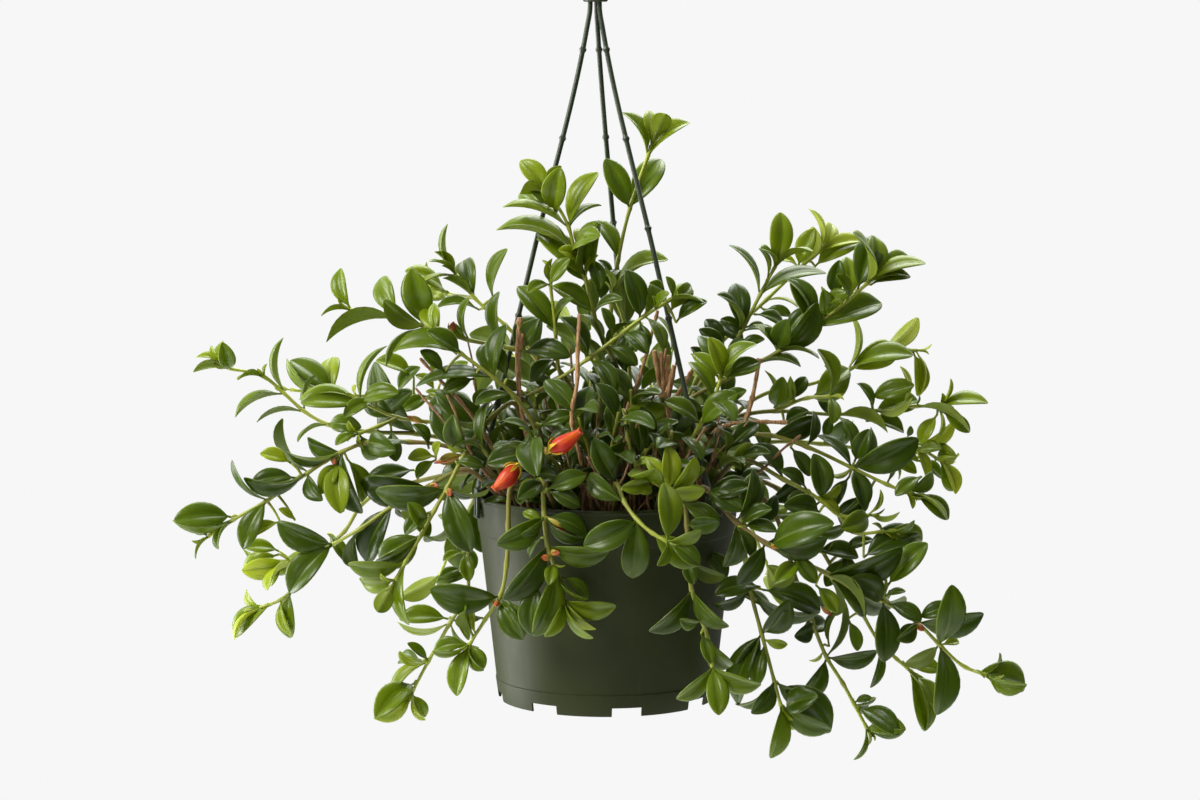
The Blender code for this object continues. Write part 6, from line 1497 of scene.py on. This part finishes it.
def pouch_rings(base, length, lean, shares):
    """Rings of a flower's pouch: swollen, with five faint folds, and narrowed to its mouth."""
    turns = around(POUCH_SIDES)
    rings = []
    for share in shares:
        swollen = math.sin(math.pi * min(share, 0.999) ** 0.72) ** 1.3
        radius = POUCH_NECK + (POUCH_BELLY - POUCH_NECK) * swollen
        radius = radius * min(1.0, (share / 0.06) ** 0.5)
        folds = 1.0 + (0.03 + 0.10 * max(0.0, share - 0.8) * 5) * np.cos(POUCH_FOLDS * turns)
        flare = 1.0 + 0.35 * max(0.0, share - 0.93) / 0.07
        local = np.stack([radius * flare * folds * np.cos(turns),
                          radius * flare * folds * np.sin(turns),
                          np.full(POUCH_SIDES, share * length)], 1)
        sag = np.array([0.0, 0.0, POUCH_SAG * math.sin(math.pi * share)])
        rings.append(np.array(base) + local @ lean.T - sag)
    return np.array(rings)


def make_flower(name, joint, bend, base, mouth, finishes, draw):
    """A flower: its pouch, and the stalk and lobes that hold it."""
    way = (mouth - base).normalized()
    lean = np.array(way.to_track_quat("Z", "Y").to_matrix())
    shares = np.linspace(0.02, 1.0, POUCH_RINGS)
    rings = pouch_rings(base, (mouth - base).length, lean, shares)
    inner = rings[-1] * 0.55 + rings[-1].mean(0) * 0.45 - np.array(way) * 0.9
    rings = np.concatenate([rings, inner[None]])
    marks = marked(rings, ring_shares(POUCH_SIDES), np.append(shares, 0.9)[:, None])
    pile = Pile()
    pile.loft(rings, [np.array(base), rings[-1].mean(0) - np.array(way) * 0.8], marks,
              [(0.5, 0.0, 0.0, 0.0), (0.5, 0.9, 0.0, 0.0)])
    dress(name + "_pouch", pile, [finishes["petal"]], [name])

    seat = base - way * SEAT_GAP
    start = joint + (bend - joint).normalized() * (STEM_ROOT_RADIUS + STALK_RADIUS) * 0.5
    path, runs = spaced([start, bend, seat - way * 2.8, seat + way * 0.4], 0.8)
    pile = Pile()
    add_tube(pile, path, STALK_RADIUS + 1.5 * np.exp(-((runs[-1] - runs) / 1.6) ** 2), 14,
             round_end=0.3)
    for number in range(CALYX_LOBES):
        turn = 2 * math.pi * (number + 0.3) / CALYX_LOBES
        out = lean @ np.array((math.cos(turn), math.sin(turn), 0.0))
        root = Vector(np.array(seat - way * 1.0) + out * 1.2)
        tip = Vector(np.array(seat + way * draw.uniform(6.5, 8.5)) + out * draw.uniform(5.6, 7.4))
        along = (tip - root).normalized()
        above = square(Vector(-out), along).normalized()
        add_leaf(pile, root, ((tip - root).length, along, -above), draw, 0.9, width=0.2,
                 grid="fine", thickness=0.5)
    dress(name + "_calyx_lobes", pile, [finishes["calyx"]], [name + "_calyx"])


def add_bud(pile, root, tip, radius, draw):
    """Add a bud: a stalk, an egg-shaped body and two small lobes hugging it."""
    way = unit(tip - root)
    length = np.linalg.norm(tip - root)
    stations = np.linspace(0.0, 1.0, BUD_RINGS)
    body = radius * np.sin(math.pi * np.clip((stations - 0.16) / 0.86, 0.0, 1.0) ** 0.8) ** 0.75
    radii = np.maximum(body, 0.45)
    radii[-1] = 0.3
    rings = tube_rings(root + np.outer(stations, tip - root), radii, BUD_SIDES)
    marks = marked(rings, ring_shares(BUD_SIDES), stations[:, None])
    pile.loft(rings, [root, tip + way * 0.2], marks,
              [(0.0, 0.0, 0.0, 0.0), (0.0, 1.0, 0.0, 0.0)])
    for side in (-1.0, 1.0):
        out = unit(np.cross(way, (0.3, 0.4, 0.85))) * side
        reach = way * length * 0.72 + out * radius * 1.25
        along = unit(reach)
        above = unit(out - along * along.dot(out))
        lobe = (float(np.linalg.norm(reach)), Vector(along), Vector(above))
        add_leaf(pile, Vector(root + way * length * 0.12), lobe, draw, 0.9, width=0.3,
                 grid="small", thickness=0.35, run=0.3)


# The plant


class Plant:
    """The leafy stems as they grow: a pile for each, and the paths that small things grow on."""

    def __init__(self, stems):
        self.draw = random.Random(SEED + 2)
        self.piles = {}
        self.paths = []
        for name, shoots in stems.items():
            self.piles[name] = Pile()
            self.grow(name, shoots)

    def grow(self, name, shoots):
        """One stem's tubes, thicker at each joint, its leaves and its shoot tips."""
        pile = self.piles[name]
        # The stem's offset is partly youth and partly painted light: paler at the back, darker in shade
        # inside.
        youth_and_light = STEMS[name][1] if name in STEMS else 0.0
        for number, (points, places, leaves) in enumerate(shoots):
            path, runs = spaced(points, 4.0)
            first = SIDE_SHOOT_RADIUS if number else STEM_ROOT_RADIUS
            radii = 0.86 * (first + (STEM_TIP_RADIUS - first) * runs / runs[-1])
            for place, tips in places:
                nearness = np.linalg.norm(path - np.array(place), axis=1)
                radii = radii + JOINT_SIZE * np.exp(-(nearness / JOINT_LENGTH) ** 2)
            radii = radii * (1.0 + np.array([self.draw.uniform(-0.045, 0.045) for step in path]))
            self.paths.append((name, path, np.array([shown(point) for point in path])))
            age = (0.45 if number else 0.0) + youth_and_light * 0.5
            add_tube(pile, path, radii, STEM_SIDES, (age, 0.9), kind=1,
                     chance=self.draw.random())
            for root, frame_of_leaf, share in leaves:
                tone = 0.16 + youth_and_light + 0.36 * share ** 3 + self.draw.uniform(-0.1, 0.14)
                add_leaf(pile, root, frame_of_leaf, self.draw, tone)
            self.tuft(pile, points, places, youth_and_light)

    def tuft(self, pile, points, places, youth_and_light):
        """The youngest leaves, still upright and half folded, at a shoot's end."""
        place, tips, ahead = list(joint_directions(points, places))[-1]
        start = self.draw.uniform(0.0, math.pi)
        for number in range(3):
            aside = beside(ahead, start + number * math.pi * 0.9)
            way = (ahead + aside * (0.42 - 0.1 * number)).normalized()
            above = square(ahead, way).normalized()
            add_leaf(pile, place, (10.5 - 2.2 * number, way, above), self.draw,
                     0.78 + 0.5 * youth_and_light + self.draw.uniform(-0.1, 0.1), width=0.36)

    def gaps(self, across, up):
        """Each path with how far from a place its points show."""
        for name, path, marks in self.paths:
            yield name, path, np.hypot(marks[:, 0] - across, marks[:, 1] - up)

    def nearest(self, across, up):
        """The stem, its path and the point of it that show nearest to a place."""
        name, path, gaps = min(self.gaps(across, up), key=lambda found: found[2].min())
        return name, path, int(gaps.argmin())

    def foremost(self, across, up):
        """The stem, its path and the point of it in front of all that show near a place."""
        near = [(name, path, int(number)) for name, path, gaps in self.gaps(across, up)
                for number in np.flatnonzero(gaps < NEAR_A_STEM)]
        if not near:
            return self.nearest(across, up)
        return min(near, key=lambda found: found[1][found[2]][1])

    def add_small_leaves(self):
        """The small leaves that the photo shows, each on the stem that it shows nearest to."""
        for across, up, *tips in SMALL_LEAVES:
            name, path, number = self.nearest(across, up)
            root = Vector(path[number])
            ahead = Vector(unit(path[number] - path[number - 1]))
            for tip_across, tip_up in zip(tips[::2], tips[1::2]):
                tip = sight(tip_across, tip_up, -root.y + self.draw.uniform(-3.0, 6.0))
                if (tip - root).length > LONGEST_SMALL_LEAF:
                    tip = root + (tip - root).normalized() * LONGEST_SMALL_LEAF
                face = self.draw.uniform(0.25, 0.9)
                add_leaf(self.piles[name], root, leaf_frame(root, tip, face, ahead), self.draw,
                         self.draw.uniform(0.6, 0.95))

    def add_more_leaves(self, room):
        """The other leaves that the photo shows, leant forward or back to where there is room."""
        for across, up, tip_across, tip_up, tone, face in MORE_LEAVES:
            name, path, number = self.foremost(across, up)
            start = Vector(path[number])
            root = sight(across, up, -start.y)
            if (root - start).length > 2.5:
                stalk = spaced([start, start.lerp(root, 0.5) + UP, root], 3.0)[0]
                add_tube(self.piles[name], stalk, np.linspace(0.95, 0.7, len(stalk)), 8,
                         (0.6, 0.9), kind=1, chance=self.draw.random())
            else:
                root = start
            ahead = UP + Vector(unit(path[number] - path[number - 1])) * 0.35
            choices = []
            for lean in MORE_LEANS:
                tip = sight(tip_across, tip_up, lean - root.y)
                length, along, above = leaf_frame(root, tip, face, ahead)
                aside = along.cross(above) * length * 0.16
                middle = root.lerp(tip, 0.55)
                spots = [middle, middle + aside, middle - aside, root.lerp(tip, 0.8)]
                choices.append((min(LEAF_SPARE, room.gap(spots)), tip, spots))
            tip, spots = max(choices, key=lambda choice: choice[0])[1:]
            room.added.extend(spots)
            add_leaf(self.piles[name], root, leaf_frame(root, tip, face, ahead), self.draw,
                     tone + self.draw.uniform(-0.05, 0.05))

    def bud_pile(self):
        """The buds that the photo shows, each on the stem that it shows nearest to."""
        pile = Pile()
        for across, up, *foot in BUDS:
            name, path, number = self.nearest(*(foot or (across, up)))
            root = path[number]
            tip = np.array(sight(across, up, -root[1] + self.draw.uniform(1.0, 4.0)))
            way = tip - root
            if np.linalg.norm(way) < 3.0:
                way = np.array((0.3, -0.8, -0.5))
            length = BUD_LENGTH * self.draw.uniform(0.85, 1.15)
            if foot:
                root = np.array(sight(*foot, -root[1] + 1.0))
                way = tip - root
                length = np.linalg.norm(way)
            add_bud(pile, root, root + unit(way) * length,
                    BUD_RADIUS * self.draw.uniform(0.85, 1.1), self.draw)
        return pile


class Room:
    """The points of what has grown, to keep new leaves clear of them."""

    def __init__(self, piles):
        self.tree = search_tree(np.concatenate([
            np.concatenate([body[0] for body in pile.bodies])[::5] for pile in piles]))
        self.added = [Vector((0.0, 0.0, -1000.0))]

    def gap(self, points):
        """How far points are from all that has grown."""
        return min(min(self.tree.find(point)[2], min((point - other).length for other in self.added))
                   for point in points)


def inner_pile(room, draw):
    """Short leafy shoots between the drawn stems, with the leaves that find room."""
    pile = Pile()
    for number in range(INNER_SHOOTS):
        turn = number * GOLDEN_TURN
        outward = math.sqrt((number + 0.5) / INNER_SHOOTS)
        foot = turned(turn, INNER_SPREAD * outward, -SOIL_DEPTH_BELOW_RIM - 2.0)
        height = draw.uniform(42.0, 104.0) * (1.08 - 0.45 * outward)
        top = foot + turned(turn + draw.uniform(-30, 30), 6.0 + 30.0 * outward, 0.0) + UP * height
        middle = foot.lerp(top, 0.5) + Vector((draw.uniform(-6, 6), draw.uniform(-6, 6), 6.0))
        path, runs = spaced([foot, middle, top], 4.0)
        add_tube(pile, path, 1.55 - 0.6 * runs / runs[-1], 8, (0.0, 0.55), kind=1,
                 chance=draw.random())
        for joint, step in enumerate(range(4, len(path), 4), 1):
            place = Vector(path[step])
            ahead = Vector(unit(path[step] - path[step - 1]))
            aside = beside(ahead, math.radians(90.0 * joint + draw.uniform(-20, 20)))
            for side in (-1.0, 1.0):
                for attempt in range(INNER_TRIES):
                    spread = math.radians(draw.uniform(42.0, 68.0))
                    size = INNER_LEAF * draw.uniform(0.7, 1.12) * (1.0 - 0.07 * attempt)
                    way = ahead * math.cos(spread) + aside * (side * math.sin(spread))
                    spots = [place + way * size * share for share in (0.35, 0.6, 0.8, 1.0)]
                    if room.gap(spots) > INNER_SPARE:
                        room.added.extend(spots)
                        add_leaf(pile, place, (size, way, square(ahead, way).normalized()), draw,
                                 draw.uniform(0.0, 0.34))
                        break
                    aside.rotate(Matrix.Rotation(math.radians(14.0), 3, ahead))
    return pile


def dead_twig_pile(draw):
    """Thin dead twigs and rootlets that stand and lie among the stems, most of them right."""
    pile = Pile()
    ground = -SOIL_DEPTH_BELOW_RIM - 1.0
    for number in range(DEAD_TWIGS):
        right = number % 3 > 0
        foot = Vector((draw.uniform(6.0, 66.0) if right else draw.uniform(-62.0, 10.0),
                       draw.uniform(-58.0, 40.0), ground))
        if math.hypot(foot.x, foot.y) > DEAD_TWIG_REACH:
            foot = foot * (64.0 / math.hypot(foot.x, foot.y))
            foot.z = ground
        rise = draw.uniform(22.0, 74.0)
        lean = Vector((draw.uniform(-12.0, 42.0) if right else draw.uniform(-30.0, 14.0),
                       draw.uniform(-18.0, 10.0), rise))
        knee = foot + lean * 0.45 + Vector((draw.uniform(-7, 7), draw.uniform(-7, 7),
                                            draw.uniform(2.0, 9.0)))
        path, runs = spaced([foot, knee, foot + lean], 3.0)
        radii = draw.uniform(0.5, 1.15) * (1.0 - 0.45 * runs / runs[-1])
        radii = radii * (1.0 + np.array([draw.uniform(-0.12, 0.16) for step in path]))
        # Each twig end gets a darkness at random: painted shade for the crown's inside, varied twig by
        # twig.
        add_tube(pile, path, radii, 7, (draw.random(), draw.random()), chance=0.0)
    for across, up, tip_across, tip_up, forward, radius in SEEN_TWIGS:
        low, tip = sight(across, up, forward), sight(tip_across, tip_up, forward)
        foot = Vector((low.x * 0.5, low.y * 0.5, ground))
        bent = low.lerp(tip, 0.5) + Vector((draw.uniform(-1.5, 1.5), draw.uniform(-2.0, 2.0), 0.0))
        path, runs = spaced([foot, low, bent, tip], 2.0)
        radii = radius * (1.0 - 0.3 * runs / runs[-1])
        for number in range(int(runs[-1] / 12.0)):
            knot = draw.uniform(0.2, 1.0) * runs[-1]
            radii = radii + 0.3 * radius * np.exp(-((runs - knot) / 1.4) ** 2)
        # A seen twig is darkest at its foot: painted shade low in the crown.
        add_tube(pile, path, radii, 9, (0.9, draw.uniform(0.2, 0.7)), chance=0.0)
    return pile


def moss_pile(draw):
    """Tufts of moss on the soil."""
    pile = Pile()
    for number in range(MOSS_TUFTS):
        middle = turned(number * GOLDEN_TURN,
                        MOSS_SPREAD * math.sqrt((number + 0.5) / MOSS_TUFTS),
                        0.6 - SOIL_DEPTH_BELOW_RIM)
        if draw.random() < MOSS_BARE_SHARE:
            continue
        for leaf in range(MOSS_LEAVES):
            out = Vector((draw.gauss(0, 1), draw.gauss(0, 1), draw.uniform(0.6, 2.2))).normalized()
            start = middle + Vector((draw.uniform(-2.4, 2.4), draw.uniform(-2.4, 2.4), -0.6))
            end = start + out * draw.uniform(1.8, 4.2)
            add_tube(pile, np.array([start, start.lerp(end, 0.55), end]), [0.32, 0.42, 0.12], 4)
    return pile


def make_plant(finishes):
    """The stems, flowers and twigs that replace the solids, and what grows between them."""
    stems = packed_stems()
    plant = Plant(stems)
    plant.add_small_leaves()
    draw = random.Random(SEED + 3)
    for name, (joint, *spots) in FLOWERS.items():
        place = stems[FLOWER_STEM][0][1][joint][0]
        make_flower(name, place, *[sight(*spot) for spot in spots], finishes, draw)
    for name, (radius, branches, root) in TWIGS.items():
        make_twig(name, radius, branches, root, finishes["bark"])
    room = Room(plant.piles.values())
    plant.add_more_leaves(room)
    inner = inner_pile(room, draw)
    skins = [finishes["leaf"], finishes["stem"]]
    for name, pile in plant.piles.items():
        stem = "leafy_stem_" + name
        dress(stem + "_leaves", pile, skins, [stem])
    dress("inner_shoots", inner, skins)
    dress("orange_buds", plant.bud_pile(), [finishes["bud"]])
    dress("dead_twigs", dead_twig_pile(draw), [finishes["bark"]])
    dress("moss", moss_pile(draw), [finishes["moss"]])


# The stage: floor, light and camera


def make_stage():
    """A pale floor far below the basket that fades into the white round it."""
    shape = bmesh.new()
    bmesh.ops.create_circle(shape, cap_ends=True, segments=96, radius=FLOOR_RADIUS)
    mesh = bpy.data.meshes.new("floor")
    shape.to_mesh(mesh)
    shape.free()
    floor = bpy.data.objects.new("floor", mesh)
    floor.location.z = -FLOOR_BELOW_SEAT
    bpy.context.scene.collection.objects.link(floor)
    finish = Finish("floor_white", Base_Color=(0.8, 0.8, 0.8, 1.0), Roughness=0.9,
                    Specular_IOR_Level=0.1)
    where = finish.node("TexCoord").outputs["Object"]
    away = finish.node("VectorMath", {0: where}, operation="LENGTH").outputs["Value"]
    seen = finish.node("LightPath").outputs["Is Camera Ray"]
    glow = finish.node("Emission", {"Color": PALE, "Strength": finish.step(seen, 0.0, 1.0, 0.12, 1.0)})
    finish.blend(finish.step(away, 0.5, 1.5), glow)
    finish.material.cycles.emission_sampling = "NONE"
    mesh.materials.append(finish.material)


def make_world():
    """A white room that lights the plant more from behind and above."""
    room = bpy.data.worlds.new("studio")
    room.use_nodes = True
    room.node_tree.nodes.clear()
    nodes = Nodes(room.node_tree)
    where = nodes.node("SeparateXYZ", {0: nodes.node("TexCoord").outputs["Generated"]})
    strength = nodes.maths("ADD", nodes.step(where.outputs[1], -0.1, 0.8, 0.04, 1.3),
                         nodes.step(where.outputs[2], -0.1, 0.95, 0.0, 0.4))
    lit = nodes.node("Background", {0: (0.99, 1.0, 0.97, 1.0), 1: strength})
    seen = nodes.node("Background", {0: PALE})
    both = nodes.node("MixShader", {0: nodes.node("LightPath").outputs["Is Camera Ray"],
                                    1: lit.outputs[0], 2: seen.outputs[0]})
    nodes.node("OutputWorld", {0: both.outputs[0]})
    bpy.context.scene.world = room
    bpy.context.scene.view_settings.view_transform = "Standard"


def add_light(name, place, target, size, power, colour):
    """A soft square light that faces a target."""
    data = bpy.data.lights.new(name, "AREA")
    data.shape = "SQUARE"
    data.size = size
    data.energy = power
    data.color = colour
    light = bpy.data.objects.new(name, data)
    light.location = place
    light.rotation_euler = (Vector(target) - Vector(place)).to_track_quat("-Z", "Y").to_euler()
    bpy.context.scene.collection.objects.link(light)


def make_camera():
    """The camera at the eye that the drawing was made from."""
    data = bpy.data.cameras.new("camera")
    data.sensor_width = SENSOR_WIDTH
    data.lens = SENSOR_WIDTH * FOCAL_PIXELS / PHOTO_WIDTH
    data.clip_end = 100.0
    camera = bpy.data.objects.new("camera", data)
    camera.location = world(EYE)
    camera.rotation_euler = (math.radians(90.0 - CAMERA_PITCH), 0.0, 0.0)
    bpy.context.scene.collection.objects.link(camera)
    bpy.context.scene.camera = camera


def main():
    """The whole scene, piece by piece."""
    hanger = hanger_finish()
    make_pot(pot_finish())
    make_soil(soil_finish())
    for side, turn in STRAND_TURNS.items():
        make_strand(side, turn, hanger)
    make_hook(hanger)
    make_plant({"leaf": leaf_finish(), "stem": stem_finish(), "petal": petal_finish(),
                "calyx": calyx_finish(), "bud": bud_finish(), "bark": bark_finish(),
                "moss": moss_finish()})
    make_stage()
    make_world()
    for name, settings in LIGHTS.items():
        add_light(name, *settings)
    make_camera()


main()
